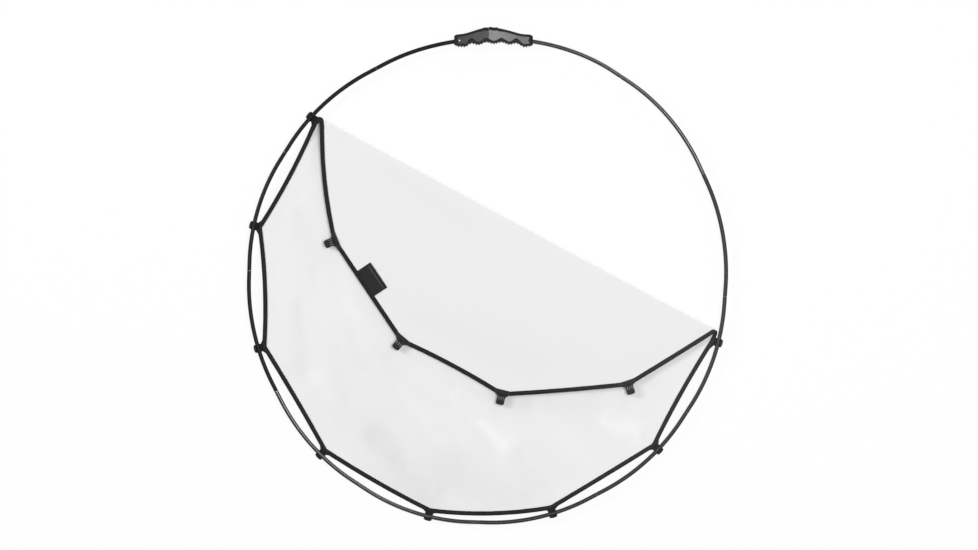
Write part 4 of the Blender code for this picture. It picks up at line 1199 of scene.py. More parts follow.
def fold_lean(point):
    """(how far the cloth's front faces up, from 1 on the fitted part to -1 on the flap, how far it faces inwards)."""
    lean = clamp((FOLD_HEIGHT - point.z) / EDGE_RADIUS, -1.0)
    return lean, math.sqrt(1 - lean**2)


def edge_frames(path):
    """(point, outward, front of the cloth) along the closed edge. The front turns over with the cloth."""
    frames, count = [], len(path)
    for i, point in enumerate(path):
        way = (path[(i + 1) % count] - path[i - 1]).normalized()
        lean, turned = fold_lean(point)
        out = way.cross(UP * lean + FOLD_IN * turned).normalized()
        frames.append((point, out, out.cross(way)))
    return frames


TAPE_SLOT = BINDING_THICKNESS / 2 - BINDING_WALL
TAPE_PUCKER = 0.00012
TAPE_PUCKER_PITCH = 0.0071
TAPE_WANDER = 0.00012
TAPE_WIDTH_CHANGE = 0.035


def tape_profile():
    """(outward, up): a tape folded over the cloth, softly rounded, open towards the cloth."""
    out, half = TAPE_WIDTH / 2, BINDING_THICKNESS / 2
    points = [(-out, half - BINDING_WALL * 0.5), (-out + 0.0004, half - 0.0001), (-out * 0.5, half), (0, half),
              (out * 0.5, half), (out * 0.85, half * 0.9), (out * 0.97, half * 0.6), (out, 0)]
    profile = points + [(o, -u) for o, u in points[-2::-1]]
    back = out - BINDING_BACK
    return profile + [(-out, -TAPE_SLOT), (0, -TAPE_SLOT), (back, -TAPE_SLOT * 0.6), (back, TAPE_SLOT * 0.6),
                      (0, TAPE_SLOT), (-out, TAPE_SLOT)]


def bunched(point):
    """How far the tape is pulled together at a point of the edge, from 0 to 1, and how much thicker that makes it."""
    bunch = fold_lean(point)[1]
    return bunch, 1 + TAPE_BUNCH_THICKNESS[0 if point.x < 0 else 1] * bunch


def make_edge(frames):
    profile, back = tape_profile(), TAPE_WIDTH / 2 - BINDING_BACK
    rings, run = [], lengths([f[0] for f in frames])
    for (point, out, front), s in zip(frames, run):
        swell = 1 + TAPE_PUCKER / BINDING_THICKNESS * 2 * math.sin(math.tau * s / TAPE_PUCKER_PITCH)
        wander = TAPE_WANDER * noise_at(s * 60, 3.1)
        bunch, thickness = bunched(point)
        width = (1 + TAPE_WIDTH_CHANGE * noise_at(s * 45, 7.7)) * (1 - TAPE_BUNCH_WIDTH * bunch)
        rings.append([point + out * (o * width + wander)
                      + front * up * (1 if o <= back and abs(up) <= TAPE_SLOT else swell * thickness)
                      for o, up in profile])
    bm = lofted(rings, along=run, around=flat_lengths(profile), closed=True)
    return claim(finish_mesh("edge_elastic", bm, ELASTIC, 60), None, "elastic", "panel_binding", "flap_binding")


ZIGZAG_PITCH = 0.0030
ZIGZAG_HALF_WIDTH = 0.0011
ZIGZAG_MIDDLE = -0.0004
ZIGZAG_SINK = 1.6  # how deep the thread dives into the tape and how high it rises, in thread radii
ZIGZAG_RISE = 0.75


def edge_at(frames, at):
    """(point, outward, front) at a place between two frames."""
    a, b, t = frames[int(at) % len(frames)], frames[(int(at) + 1) % len(frames)], at - int(at)
    return [m.lerp(n, t) for m, n in zip(a, b)]


def make_zigzag(frames):
    """The seam that holds the tape on: a zigzag on both faces, one continuous thread each."""
    points = [f[0] for f in frames]
    count = round(lengths(points + points[:1])[-1] / (ZIGZAG_PITCH / 2)) // 2 * 2
    bm, total = bmesh.new(), len(frames)
    for face in (1, -1):
        line = []
        for i in range(count):
            at = i / count * total
            point, out, front = edge_at(frames, at)
            swing = ZIGZAG_HALF_WIDTH * (1 if i % 2 else -1)
            surface = face * BINDING_THICKNESS / 2 * bunched(point)[1]
            line.append(point + out * (ZIGZAG_MIDDLE + swing) + front * (surface - face * THREAD_RADIUS * ZIGZAG_SINK))
            point, out, front = edge_at(frames, at + total / count / 2)
            line.append(point + out * ZIGZAG_MIDDLE + front * (surface + face * THREAD_RADIUS * ZIGZAG_RISE))
        rings = []
        for i, point in enumerate(line):
            way = (line[(i + 1) % len(line)] - line[i - 1]).normalized()
            side = way.cross(frames[i * total // len(line)][2]).normalized()
            rings.append(circle(point, side, side.cross(way), THREAD_RADIUS, 4))
        loft(bm, rings, closed=True)
    return claim(finish_mesh("edge_zigzag", bm, THREAD, 70), None, "elastic")


# ---- the cloth

CLOTH_STEP = 0.006
ROW_SPACING = 0.866  # between rows of an even triangle mesh, as a share of its step
CLOTH_FADE = 0.030  # how far from its edge the cloth's creases reach their full height
FLAT_HEIGHT = EDGE_RADIUS * 0.999 - 0.0001  # from the fold's middle to where the edge counts as flat
HALF_ROLL = math.pi * EDGE_RADIUS / 2  # from the fold's outermost line to where the cloth lies flat again

# Soft creases of the fitted part: ends in hoop coordinates (millimetres), half width and height.
CREASES = (
    (-330, -34, -325, -150, 9, 1.8), (-326, 122, -320, 80, 9, 1.6), (-222, -62, -192, -126, 12, 1.3),
    (-284, -176, -206, -276, 18, 2.2), (-206, -276, -118, -382, 26, 3.0), (-160, -230, -70, -350, 16, -1.8),
    (-50, -196, 42, -280, 10, 2.4), (-66, -214, 20, -304, 12, -1.2), (206, -230, 262, -256, 10, 1.8),
    (0, -176, 60, -192, 12, 1.6), (60, -192, 170, -200, 14, 1.0), (-40, -268, 56, -354, 8, 1.2),
    (120, -262, 176, -330, 12, 1.0), (-120, -190, -84, -262, 12, -1.4), (262, -168, 300, -222, 12, -1.2),
    (180, -196, 214, -246, 12, -1.0), (-258, -120, -226, -196, 12, -1.3), (-20, -330, 24, -372, 10, 1.0),
)
# Painted shade and light for the fitted part's creases and the pucker under the fold's left end: ends, half width and
# share of its white.
PAINTED_SHADES = (
    (-324, 122, -317, 82, 11, -0.035), (-327, -30, -322, -145, 11, -0.04), (-262, -165, -190, -262, 17, -0.035),
    (-190, -262, -98, -372, 26, -0.08), (-80, -310, 60, -374, 38, -0.045), (-60, -200, 34, -288, 8, 0.07),
    (-10, -240, 30, -282, 9, 0.07), (200, -238, 254, -262, 11, 0.09), (8, -190, 60, -206, 13, -0.07),
    (60, -206, 170, -212, 15, -0.035), (-45, -274, 50, -360, 6, 0.04), (-245, 50, -232, -95, 14, 0.02),
    (-292, -155, -268, -195, 12, 0.03), (350, -110, 372, -99, 9, -0.05), (-60, -180, -20, -230, 14, -0.02),
    (-279, 260, -282, 246, 7, -0.13), (-281, 248, -286, 222, 8, -0.07), (-285, 225, -292, 186, 10, -0.035),
    (-238, -70, -214, -150, 9, -0.035), (-190, -110, -150, -180, 8, -0.025), (120, -268, 190, -330, 16, 0.02),
    (-300, 60, -296, -20, 9, -0.02), (-150, -180, -100, -240, 9, 0.025), (-352, 20, -350, -60, 8, 0.015),
)
# Painted shade streaks on the flap, in the same columns.
FLAP_PAINTED_SHADES = ((-174, 186, -39, 101, 12, -0.022), (-123, -59, 80, -144, 16, -0.024))
PAINTED_SHADE_RANGE = 0.2
CLOTH_SAG = 1.1  # millimetres
MILLIMETRE = 0.001
PULL = (0.77, 0.64)  # towards which the clips on the right pull, to the right and down
CREASE_STREAKS = ((0.7, 60), (0.3, 24))  # height and spread
PAINTED_SHADE_STREAKS = ((0.018, 30), (0.012, 12))  # painted shade streaks: share of its white and spread
RAGGED = 0.45  # how unevenly the painted shades lie
FLAP_WAVES = ((0.5, 0.009, 9.4), (0.2, 0.022, 2.9))
CREASE_BEND = (-260, -170)  # the streaks stand upright left of here and run down to the right beyond it


def streak(x, y, spread):
    """Noise drawn out along the pull of the clips, from -1 to 1."""
    upright = noise_at(x / spread, y / spread / 5, 3.3)
    right, down = PULL
    slanting = noise_at((x * right + y * down) / spread, (x * down - y * right) / spread / 5, 8.1)
    share = smoothstep(*CREASE_BEND, x)
    return upright * (1 - share) + slanting * share


def streaks(layers, x, y):
    """Streaks of several sizes at a point."""
    return (size * streak(x, y, spread) for size, spread in layers)


def along_lines(lines, x, y):
    """The sum of soft lines (ends, half width, size) at a point. Each spreads a little towards its second end."""
    total, p = 0.0, Vector((x, y))
    for x1, y1, x2, y2, half, size in lines:
        a, line = Vector((x1, y1)), Vector((x2 - x1, y2 - y1))
        t = (p - a).dot(line) / line.length_squared
        nearest = a + line * clamp(t)
        beyond = max(0.0, abs(t - 0.5) - 0.5)
        away = (p - nearest).length_squared / (half * (1 + 0.7 * clamp(t))) ** 2
        total += size * math.exp(-away) * math.exp(-beyond * 3)
    return total


CREASE_LIMIT = 0.0009  # towards the other layer, so that each layer stays on its side of the fold
FOLD_GATHER = (-281, 268, -284, 202, 11.5, 7.0)  # deep pucker under the fold's left end: ends, half width, depth
GATHER_EDGE = 0.004
FINE_CLOTH_STEP = 0.0026
FINE_CLOTH_REACH = 0.075  # how far from the fold's left end the cloth's mesh is fine


def gather_depth(x, y, q, distance):
    x1, y1, x2, y2, half, depth = FOLD_GATHER
    a, b, p = Vector((x1, y1)), Vector((x2, y2)), Vector((x, y))
    t = clamp((p - a).dot(b - a) / (b - a).length_squared)
    away = (p - a.lerp(b, t)).length_squared / (half * (1 + 0.6 * t)) ** 2
    free = smoothstep(0, GATHER_EDGE, distance) * smoothstep(HALF_ROLL, HALF_ROLL + GATHER_EDGE, q)
    return MILLIMETRE * depth * (1 - t) ** 1.2 * math.exp(-away) * free


def crease_height(x, y):
    """In metres, at a point of the fitted part in millimetres."""
    return (sum(streaks(CREASE_STREAKS, x, y), along_lines(CREASES, x, y)) - CLOTH_SAG) * MILLIMETRE


def painted_cloth_shade(u, q):
    """Painted crease shade: the share of its white that the cloth gains or loses at a point of the flat cloth."""
    if abs(q) < HALF_ROLL:
        return 0.0
    point = FOLD_A + FOLD_WAY * u + FOLD_IN * (abs(q) - HALF_ROLL)
    x, y = point.x * 1000, point.y * 1000
    if q < 0:
        return along_lines(FLAP_PAINTED_SHADES, x, y)
    ragged = 1 + RAGGED * noise_at(x / 11, y / 16, 5.7)
    wander = 6 * noise_at(x / 30, y / 30, 1.9) + 2.5 * noise_at(x / 9, y / 9, 6.1)
    painted_shade = sum(streaks(PAINTED_SHADE_STREAKS, x, y), along_lines(PAINTED_SHADES, x + wander, y) * ragged)
    return clamp(painted_shade, -PAINTED_SHADE_RANGE, PAINTED_SHADE_RANGE)


def flap_height(x, y):
    return sum(size * noise_at(x * scale, y * scale, layer) for size, scale, layer in FLAP_WAVES) * MILLIMETRE


def unfold(point):
    """(along the fold, across it) of a point of the cloth laid out flat. The fold's outermost line is at 0."""
    u, w = (point - FOLD_A).dot(FOLD_WAY), (point - FOLD_A).dot(FOLD_IN)
    if point.z < FOLD_HEIGHT:
        return Vector((u, w + HALF_ROLL))
    return Vector((u, -w - HALF_ROLL))


def refold(u, q, distance):
    """Where a point of the flat cloth lies: the fitted part below, the roll of the fold, the flap above."""
    if abs(q) < HALF_ROLL:
        turn = -q / HALF_ROLL * math.pi / 2
        return FOLD_A + FOLD_WAY * u - FOLD_IN * EDGE_RADIUS * math.cos(turn) + UP * (
            FOLD_HEIGHT + EDGE_RADIUS * math.sin(turn))
    point = FOLD_A + FOLD_WAY * u + FOLD_IN * (abs(q) - HALF_ROLL)
    share = smoothstep(0, CLOTH_FADE, distance) * smoothstep(HALF_ROLL, HALF_ROLL + CLOTH_FADE, abs(q))
    x, y = point.x * 1000, point.y * 1000
    if q > 0:
        rise = min(CREASE_LIMIT, share * crease_height(x, y)) - gather_depth(x, y, q, distance)
        return point + UP * (PANEL_HEIGHT + rise)
    return point + UP * (FLAP_HEIGHT + max(-CREASE_LIMIT, share * flap_height(x, y)))


def make_cloth(frames):
    """One sheet: fitted part, fold and flap."""
    reach = FABRIC_REACH - BINDING_WIDTH / 2
    # The edge runs anticlockwise round the fitted part and on round the flap. Its turns over the fold are left out.
    outline = [unfold(point + out * reach) for point, out, _ in frames
               if abs(point.z - FOLD_HEIGHT) >= FLAT_HEIGHT]
    tree, points, count = key_tree(outline), list(outline), len(outline)

    def fill(p, step, wanted):
        if wanted and tree.find((*p, 0))[2] > step * 0.5 and inside(p, outline):
            points.append(p)

    left, right = min(p.x for p in outline), max(p.x for p in outline)
    low, high = min(p.y for p in outline), max(p.y for p in outline)
    rows = [HALF_ROLL * share for share in (-1, -0.67, -0.33, 0, 0.33, 0.67, 1)]
    for side, end in ((1, high), (-1, -low)):
        q = HALF_ROLL + CLOTH_STEP * 0.6
        while q < end:
            rows.append(side * q)
            q += CLOTH_STEP * ROW_SPACING
    for r, q in enumerate(rows):
        for c in range(math.ceil((right - left) / CLOTH_STEP)):
            p = Vector((left + (c + 0.5 * (r % 2)) * CLOTH_STEP, q))
            fill(p, CLOTH_STEP, p.y < HALF_ROLL * 1.01 or p.length > FINE_CLOTH_REACH)
    fine = round(FINE_CLOTH_REACH / FINE_CLOTH_STEP)
    for r in range(fine):
        q = HALF_ROLL + (r + 0.7) * FINE_CLOTH_STEP * ROW_SPACING
        for c in range(-fine, fine + 1):
            p = Vector(((c + 0.5 * (r % 2)) * FINE_CLOTH_STEP, q))
            fill(p, FINE_CLOTH_STEP, p.length < FINE_CLOTH_REACH)
    verts, _, faces, _, _, _ = delaunay_2d_cdt(points, [], [list(range(count))], 1, 1e-8)
    bm, made = bmesh.new(), []
    layer, painted_shades = weave_layer(bm), bm.verts.layers.float.new("painted_shade")
    for i, p in enumerate(verts):
        vert = bm.verts.new(refold(*p, 0.0 if i < count else tree.find((*p, 0))[2]))
        vert[layer] = (*p, 0)
        vert[painted_shades] = painted_cloth_shade(*p)
        made.append(vert)
    for face in faces:
        bm.faces.new([made[i] for i in face])
    cloth = claim(finish_mesh("diffuser_cloth", bm, WHITE_FABRIC, 180), None, "white_fabric",
                  "panel_fabric", "fabric_fold", "flap_fabric")
    return cloth, (right - left, high - low), abs(doubled_area(outline)) / 2


# ---- clips

CLIP_STEP = 0.0003
CLIP_LIP_ROUND = 0.0014
CLIP_LIP_ARCH = 0.0016  # how far the thumb lip's ends fall back from its middle
CLIP_LIP_REACH = 0.0082
CLIP_BAR_ROUND = 0.0012
CLIP_EDGE = 0.00025
CLIP_OUTLINE_STEP = 0.0011
BACK_RIBS = (-0.0040, 0.0, 0.0040)
BACK_RIB_HALF = 0.0009
BACK_RIB_HEIGHT = 0.00065
BACK_RIB_ENDS = ((-0.0075, -0.0065), (0.0050, 0.0062))
LIP_RIBS = (-0.0052, -0.0026, 0.0, 0.0026, 0.0052)
LIP_RIB_HALF = 0.0006
LIP_RIB_HEIGHT = 0.00045
RIB_RAMP = 0.0003


def densified(points, step):
    out = []
    for a, b in closed_pairs(points):
        count = max(1, math.ceil((b - a).length / step))
        out += [a.lerp(b, k / count) for k in range(count)]
    return out


def ribs(x, centres, half):
    nearest = min(abs(x - centre) for centre in centres)
    return 1 - smoothstep(half - RIB_RAMP / 2, half + RIB_RAMP / 2, nearest)


def drawn_in(points, distance):
    """A closed outline (clockwise or not), moved inwards."""
    inwards = distance if doubled_area(points) > 0 else -distance
    out = []
    for i, (point, after) in enumerate(closed_pairs(points)):
        way = (after - points[i - 1]).normalized()
        out.append(point + Vector((-way.y, way.x)) * inwards)
    return out


def clip_profile():
    inner_end = BAR_PLACE - BAR_WIDTH / 2
    hook, wall = CHANNEL_HALF + CLIP_HOOK_WALL, CHANNEL_HALF + CLIP_INNER_WALL
    corners = (
        (inner_end, BASE_BOTTOM, 0.0005), (CLIP_THUMB_REACH, BASE_BOTTOM, 0.0009),
        (CLIP_THUMB_REACH, BASE_TOP, 0.0006), (hook, BASE_TOP + CLIP_BASE * 0.8, 0.0012),
        (hook, CLIP_HOOK_RISE, 0.0009), (CHANNEL_HALF, CLIP_HOOK_RISE, 0.0006), (CHANNEL_HALF, BASE_TOP, 0.0012),
        (-CHANNEL_HALF, BASE_TOP, 0.0012), (-CHANNEL_HALF, CLIP_INNER_RISE, 0.0004),
        (-wall, CLIP_INNER_RISE, 0.0005), (-wall, BASE_TOP, 0.0004), (inner_end, BASE_TOP, 0.0005),
    )
    return densified(rounded(corners, 3), CLIP_OUTLINE_STEP)


def clip_rings():
    """The clip in its own frame: (along the tube, outward, up) rings from end to end."""
    profile, half = clip_profile(), CLIP_WIDTH / 2
    reach_in = BAR_PLACE - BAR_WIDTH / 2
    narrow = drawn_in(profile, CLIP_EDGE)
    rings = []
    for x in stations(-half, half, CLIP_STEP):
        from_end = half - abs(x)
        edge = 1 - smoothstep(0, CLIP_EDGE, from_end)

        def corner(radius):
            left = clamp(1 - from_end / radius)
            return radius * (1 - math.sqrt(1 - left**2))

        ring = []
        for wide, small in zip(profile, narrow):
            o, up = wide.lerp(small, edge)
            o = min(o, CLIP_LIP_REACH - CLIP_LIP_ARCH * abs(x / half) ** 2.5 - corner(CLIP_LIP_ROUND))
            o = max(o, reach_in + corner(CLIP_BAR_ROUND))
            if wide.y < BASE_BOTTOM + 0.0001:
                along = smoothstep(*BACK_RIB_ENDS[0], o) * (1 - smoothstep(*BACK_RIB_ENDS[1], o))
                up -= BACK_RIB_HEIGHT * ribs(x, BACK_RIBS, BACK_RIB_HALF) * along
            if CHANNEL_HALF + CLIP_HOOK_WALL < wide.x and wide.y > BASE_BOTTOM + CLIP_BASE / 2:
                up += LIP_RIB_HEIGHT * ribs(x, LIP_RIBS, LIP_RIB_HALF)
            ring.append(Vector((x, o, up)))
        rings.append(ring)
    return rings


def in_frame(axes, points, folded=False):
    tube, along, out = axes
    return [tube + along * p[0] + out * p[1] + UP * turned_over(p[2], folded) for p in points]


def carry(bm, axes, folded=False):
    """Moves a mesh drawn in a local frame to where that frame lies."""
    for vert in bm.verts:
        vert.co = in_frame(axes, [vert.co], folded)[0]


def make_clip(name, node, axes, folded, body):
    rings = clip_rings()
    bm = lofted([in_frame(axes, ring, folded) for ring in rings], along=[ring[0].x for ring in rings],
                around=flat_lengths([(p.y, p.z) for p in rings[len(rings) // 2]]))
    clip = finish_mesh(name, bm, CLIP_PLASTIC)
    low, high, half = BAR_PLACE + BAR_WIDTH / 2, BAR_PLACE + BAR_WIDTH / 2 + WINDOW_LENGTH, WINDOW_WIDTH / 2
    window = rounded([(x, o, WINDOW_ROUND) for x, o in ((-half, low), (half, low), (half, high), (-half, high))], 3)
    cut(clip, lofted([in_frame(axes, [(*p, z) for p in window], folded)
                      for z in (BASE_BOTTOM - CUTTER_MARGIN, WING_BOTTOM)]))
    resharpen(clip, 38)
    return claim(clip, body, "clip_plastic", node)


# ---- wings, loops and their seams

WING_EDGE = 0.0003
WING_CROWN = 0.0005
WING_CROWN_REACH = 0.0008
WING_SEAM_INSET = 0.0013
WING_STEP = 0.0013
WING_STITCH_PITCH = 0.0026
WING_SEAM_RISE = 0.00012
WING_SEAM_HALF_WIDTH = 0.0004
WING_WAVES = (0.0001, 0.00006)  # behind and in front
WING_PAD_STEP = 0.0012
LOOP_STEP = 0.001
LOOP_TURN_STEPS = 12
TACK_PITCH = 0.0021  # bar tack beside the loop
TACK_REACH = 0.0062
TACK_INSET = 0.0009
WING_SHORT = 0.0078  # how far the first and the last fitted patch reach towards the fold


def wing_outline(half_bend, folded, cut_short):
    """The twill patch in plan (along, outward). On the flap its inner edge runs straight across the corner."""
    far = WING_LENGTH / 2
    drop = far * math.tan(half_bend)
    edge = BINDING_WIDTH / 2
    inner = drop + edge - WING_EDGE if folded else WING_INNER
    neck = -(CHANNEL_HALF + CLIP_INNER_WALL + WING_GAP)
    right = [(far, -CORNER_INSET - drop - edge, 0.001), (far + drop / 4, -CORNER_INSET - drop + edge / 2, 0.001),
             (WING_SHOULDER_HALF_WIDTH, -CORNER_INSET - drop / 2 + edge, 0.0035), (WING_NECK_HALF_WIDTH, neck, 0.0008)]
    left = [(-x, o, r) for x, o, r in right]
    corners = [left[0], (0, -CORNER_INSET - inner, 0.007), *right, *left[:0:-1]]
    low, high = (-WING_SHORT, far * 2) if cut_short < 0 else (-far * 2, WING_SHORT if cut_short else far * 2)
    return densified(rounded([(clamp(x, low, high), o, r) for x, o, r in corners], 5), WING_STEP)


def add_wing(bm, threads, axes, half_bend, folded, seed, cut_short):
    outline = wing_outline(half_bend, folded, cut_short)

    def crown(distance):
        return WING_EDGE + WING_CROWN * (1 - math.exp(-distance / WING_CROWN_REACH))

    def back(x, y, distance):
        seam = WING_SEAM_RISE * math.exp(-((distance - WING_SEAM_INSET) / WING_SEAM_HALF_WIDTH) ** 2)
        return WING_TOP - crown(distance) + seam - WING_WAVES[0] * noise_at(x * 300, y * 300, seed)

    def front(x, y, _):
        return WING_TOP + WING_WAVES[1] * noise_at(x * 300, y * 300, seed + 9)

    pad = bmesh.new()
    flat_patch(pad, outline, WING_PAD_STEP, front, back)
    carry(pad, axes, folded)
    bmesh.ops.recalc_face_normals(pad, faces=pad.faces)
    absorb(bm, pad)
    turns = [math.pi * i / LOOP_TURN_STEPS for i in range(LOOP_TURN_STEPS + 1)]
    top = WING_BOTTOM + LOOP_PLAY

    def half_round(radius):
        arc = [(BAR_PLACE + radius * math.cos(turn), BAR_HEIGHT - radius * math.sin(turn)) for turn in turns]
        return [(BAR_PLACE + radius, top), *arc, (BAR_PLACE - radius, top)]

    profile = half_round(LOOP_INNER + LOOP_THICKNESS) + half_round(LOOP_INNER)[::-1]
    places = stations(-LOOP_WIDTH / 2, LOOP_WIDTH / 2, LOOP_STEP)
    loft(bm, [in_frame(axes, [(x, *p) for p in profile], folded) for x in places], along=places,
         around=flat_lengths(profile))
    depth, up = WING_TOP - crown(WING_SEAM_INSET) + 0.0001, UP * (1 if folded else -1)
    seam = in_frame(axes, [(*p, depth) for p in drawn_in(outline, WING_SEAM_INSET)], folded)
    stitch_row(threads, seam, up, WING_STITCH_PITCH, THREAD_RADIUS, closed=True)
    place = -CORNER_INSET + BINDING_WIDTH / 2 + TACK_INSET
    tack = in_frame(axes, [(x, place, depth - 0.0001) for x in (-TACK_REACH, TACK_REACH)], folded)
    stitch_row(threads, tack, up, TACK_PITCH, THREAD_RADIUS * 1.2)


def absorb(bm, other):
    """Moves a bmesh into another and frees it."""
    data = bpy.data.meshes.new("absorbed")
    other.to_mesh(data)
    other.free()
    bm.from_mesh(data)
    bpy.data.meshes.remove(data)


def make_wings(name, frames, folded, body):
    pads, threads = bmesh.new(), bmesh.new()
    for number, (axes, bend) in enumerate(frames):
        cut_short = 0 if folded else {0: -1, FITTED_CLIPS - 1: 1}.get(number, 0)
        add_wing(pads, threads, axes, bend, folded, number * 1.7, cut_short)
    claim(finish_mesh(f"{name}_wings", pads, WEBBING, 50), body, "elastic")
    claim(finish_mesh(f"{name}_wing_stitches", threads, THREAD, 70), body, "elastic")


def make_clips():
    path = panel_path()
    fitted, clips, hanging = [], [], []
    for number in range(FITTED_CLIPS):
        at = SPAN_STEPS * (number + 1)
        before, after = path[at] - path[at - 1], path[at + 1] - path[at]
        axes, node = clip_frame(number), f"clip_{number + 1:02d}"
        fitted.append((axes, before.angle(after) / 2))
        clips.append(make_clip(f"fitted_{node}", node, axes, False, "panel"))
    for number in range(len(FLAP_CORNERS)):
        *axes, bend = flap_clip_frame(number)
        hanging.append((axes, bend))
        name = f"hanging_clip_{number + 1}"
        make_clip(f"{name}_body", f"flap_clip_{number + 1}", axes, True, name)
    make_wings("panel", fitted, False, "panel")
    make_wings("flap", hanging, True, "flap")
    return clips


# ---- label

LABEL_LINE_PLACE = -LABEL_REACH + 0.0062
LABEL_LINE_WIDTH = 0.0009
LABEL_LINE_MARGIN = 0.0035
LABEL_LIFT = 0.0007
LABEL_STEP = 0.0012
LABEL_PAD_STEP = 0.0013
LABEL_ROUND = 0.0006
LABEL_WAVE = 0.00012
LABEL_HEM = 0.0016
LABEL_STITCH_PITCH = 0.0024
LABEL_STITCH_MARGIN = 0.002


def make_label():
    first, second = FLAP_POINTS[:2]
    along = (second - first).normalized()
    edge = BINDING_WIDTH / 2 + STITCH_GAP + max(0.0, -FLAP_BOWS[1])
    half = LABEL_LENGTH / 2
    low = FLAP_HEIGHT + FABRIC_THICKNESS / 2 + STITCH_GAP
    axes = (first.lerp(second, LABEL_PLACE), along, across(along))
    corners = ((-half, -edge), (-half, -LABEL_REACH), (half, -LABEL_REACH), (half, -edge))
    outline = densified(rounded([(*corner, LABEL_ROUND) for corner in corners], 3), LABEL_STEP)

    def lift(x, y):
        out = (-edge - y) / (LABEL_REACH - edge)
        curl = LABEL_LIFT * out**2 * (0.6 + 0.4 * math.cos(x / half * 2.2 + 0.6))
        return curl + LABEL_WAVE * noise_at(x * 90, y * 90, 4.4)

    def face(x, y, distance):
        hem = LABEL_WAVE * math.exp(-((distance - LABEL_HEM) / 0.0005) ** 2)
        return low + LABEL_THICKNESS * (0.7 + 0.3 * smoothstep(0, 0.0006, distance)) + lift(x, y) - hem

    bm = bmesh.new()
    flat_patch(bm, outline, LABEL_PAD_STEP, face, lambda x, y, d: low + lift(x, y))
    carry(bm, axes)
    label = claim(finish_mesh("woven_tab", bm, LABEL_BLACK, 60), "flap", "label_black", "woven_label")
    threads = bmesh.new()
    end = half - LABEL_STITCH_MARGIN
    row = [(x, -edge - LABEL_HEM, low + LABEL_THICKNESS) for x in (-end, 0, end)]
    stitch_row(threads, in_frame(axes, row), UP, LABEL_STITCH_PITCH, THREAD_RADIUS)
    seam = claim(finish_mesh("woven_tab_stitches", threads, THREAD, 70), "flap", "label_black")


# ---- studio

FLOOR_WHITE_SHARE = 0.9
FLOOR_HALF = 20.0
FLOOR_CELLS = 8
FLOOR_DROP = 0.0004
CAMERA_LENS = 100
CAMERA_SENSOR = 36
VIEW_WIDTH = 1.6516
VIEW_CENTRE = (0.0019, 0.0016)
WORLD_STRENGTH = 0.30
SOFTBOXES = {"overhead": ((0.95, 0.1, 3.0), 1.5, 60), "key": ((-3.4, 1.3, 2.2), 1.2, 84),
             "fill": ((1.9, 3.3, 1.0), 1.4, 18)}  # place, size and power


def add_softbox(name, place, size, power):
    data = bpy.data.lights.new(name, "AREA")
    data.shape = "RECTANGLE"
    data.size = data.size_y = size
    data.energy = power
    lamp = add_object(name, data)
    lamp.location = place
    lamp.rotation_euler = (-Vector(place)).to_track_quat("-Z", "Y").to_euler()
    lamp.visible_camera = False


def make_studio():
    bm = bmesh.new()
    lines = [FLOOR_HALF * (2 * i / FLOOR_CELLS - 1) for i in range(FLOOR_CELLS + 1)]
    for left, right in zip(lines, lines[1:]):
        for low, high in zip(lines, lines[1:]):
            corners = ((left, low), (right, low), (right, high), (left, high))
            bm.faces.new([bm.verts.new((*corner, -FLOOR_DROP)) for corner in corners])
    bmesh.ops.remove_doubles(bm, verts=bm.verts, dist=0.0001)
    floor = finish_mesh("floor", bm, floor_material(), 180, moved=False)
    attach(floor, "panel")  # the panel comes off the back of the hoop, so the floor gives way with it

    world = bpy.data.worlds.new("studio")
    world.use_nodes = True
    background = world.node_tree.nodes["Background"]
    background.inputs["Color"].default_value = (1, 1, 1, 1)
    background.inputs["Strength"].default_value = WORLD_STRENGTH
    bpy.context.scene.world = world

    for name, values in SOFTBOXES.items():
        add_softbox(f"{name}_softbox", *values)

    data = bpy.data.cameras.new("camera")
    data.lens, data.sensor_width = CAMERA_LENS, CAMERA_SENSOR
    camera = add_object("camera", data)
    camera.location = (*VIEW_CENTRE, ROOT_PLACE.z + VIEW_WIDTH * CAMERA_LENS / CAMERA_SENSOR)
    bpy.context.scene.camera = camera
    bpy.context.scene.view_settings.view_transform = "Standard"


# ---- everything together

def carry_over():
    """CAD nodes whose shapes are right keep them and take a finished material."""
    finishes = (("ferrule", metal_material()), ("cord_anchor", anchor_material()), ("cord", cord_material()))
    for node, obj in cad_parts.items():
        for material in [material for start, material in finishes if node.startswith(start)][:1]:
            for slot in obj.material_slots:
                slot.material = material


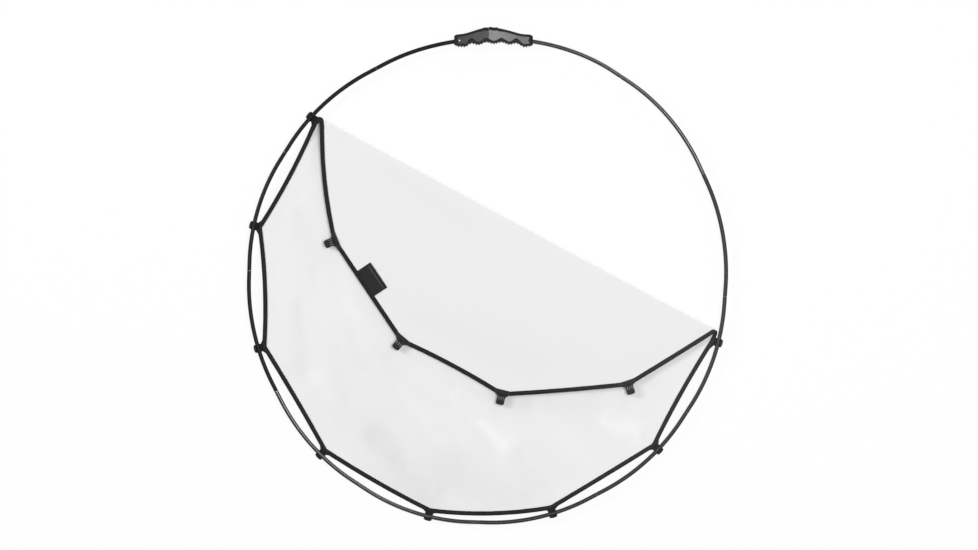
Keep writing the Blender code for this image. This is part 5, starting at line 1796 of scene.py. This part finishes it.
# The two tubes at the bottom of the hoop and the two that run up to the grip on the right are the most handled
# ones, and shine most.
TUBE_SATIN = tube_material("tube_black_satin", 0.32, 0.12)
TUBE_WORN = tube_material("tube_black_worn", 0.5, 0.5)
TUBE_POLISHED = tube_material("tube_black_polished", 0.22, 1.0)
TUBE_RUBBED = tube_material("tube_black_rubbed", 0.28, 0.6)
TUBE_FINISHES = {5: TUBE_POLISHED, 6: TUBE_POLISHED, 7: TUBE_RUBBED, 8: TUBE_WORN, 9: TUBE_WORN, 10: TUBE_WORN,
                 11: TUBE_POLISHED, 12: TUBE_POLISHED}
# Each half's second colour is its painted highlight by the crown.
GRIP_LEFT = grip_material("grip_plastic_left", (0.045, 0.045, 0.047), (0.075, 0.075, 0.077))
GRIP_RIGHT = grip_material("grip_plastic_right", (0.15, 0.15, 0.153), (0.25, 0.25, 0.253))
GRIP_RUBBER = rubber_material()
STEEL = steel_material("steel", (0.4, 0.4, 0.41), (0.62, 0.62, 0.63))
# The right screw's steel is painted dark: painted shade, so that it shows no glint where the left one does.
STEEL_PAINTED_DARK = steel_material("steel_painted_dark", (0.02, 0.02, 0.021), (0.04, 0.04, 0.042))
WHITE_FABRIC = cloth_material()
ELASTIC = elastic_material()
WEBBING = webbing_material()
THREAD = thread_material()
CLIP_PLASTIC = clip_material()
LABEL_BLACK = label_material()

carry_over()
make_tubes()
make_grip()
edge = edge_frames(edge_path())
cloth, cloth_size, cloth_area = make_cloth(edge)
tape, zigzag = make_edge(edge), make_zigzag(edge)
clips = make_clips()
make_label()

# The cloth and its edge turn over the fold between these heights, clear of the flat parts on both sides.
CLOTH_TURN = (PANEL_HEIGHT + 0.0011, FLAP_HEIGHT - 0.0009)
TAPE_TURN = (PANEL_HEIGHT + BINDING_THICKNESS / 2 + 0.0004, FLAP_HEIGHT - BINDING_THICKNESS / 2 - 0.0004)
for piece, (low, high) in ((cloth, CLOTH_TURN), (tape, TAPE_TURN), (zigzag, TAPE_TURN)):
    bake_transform(piece)

make_studio()
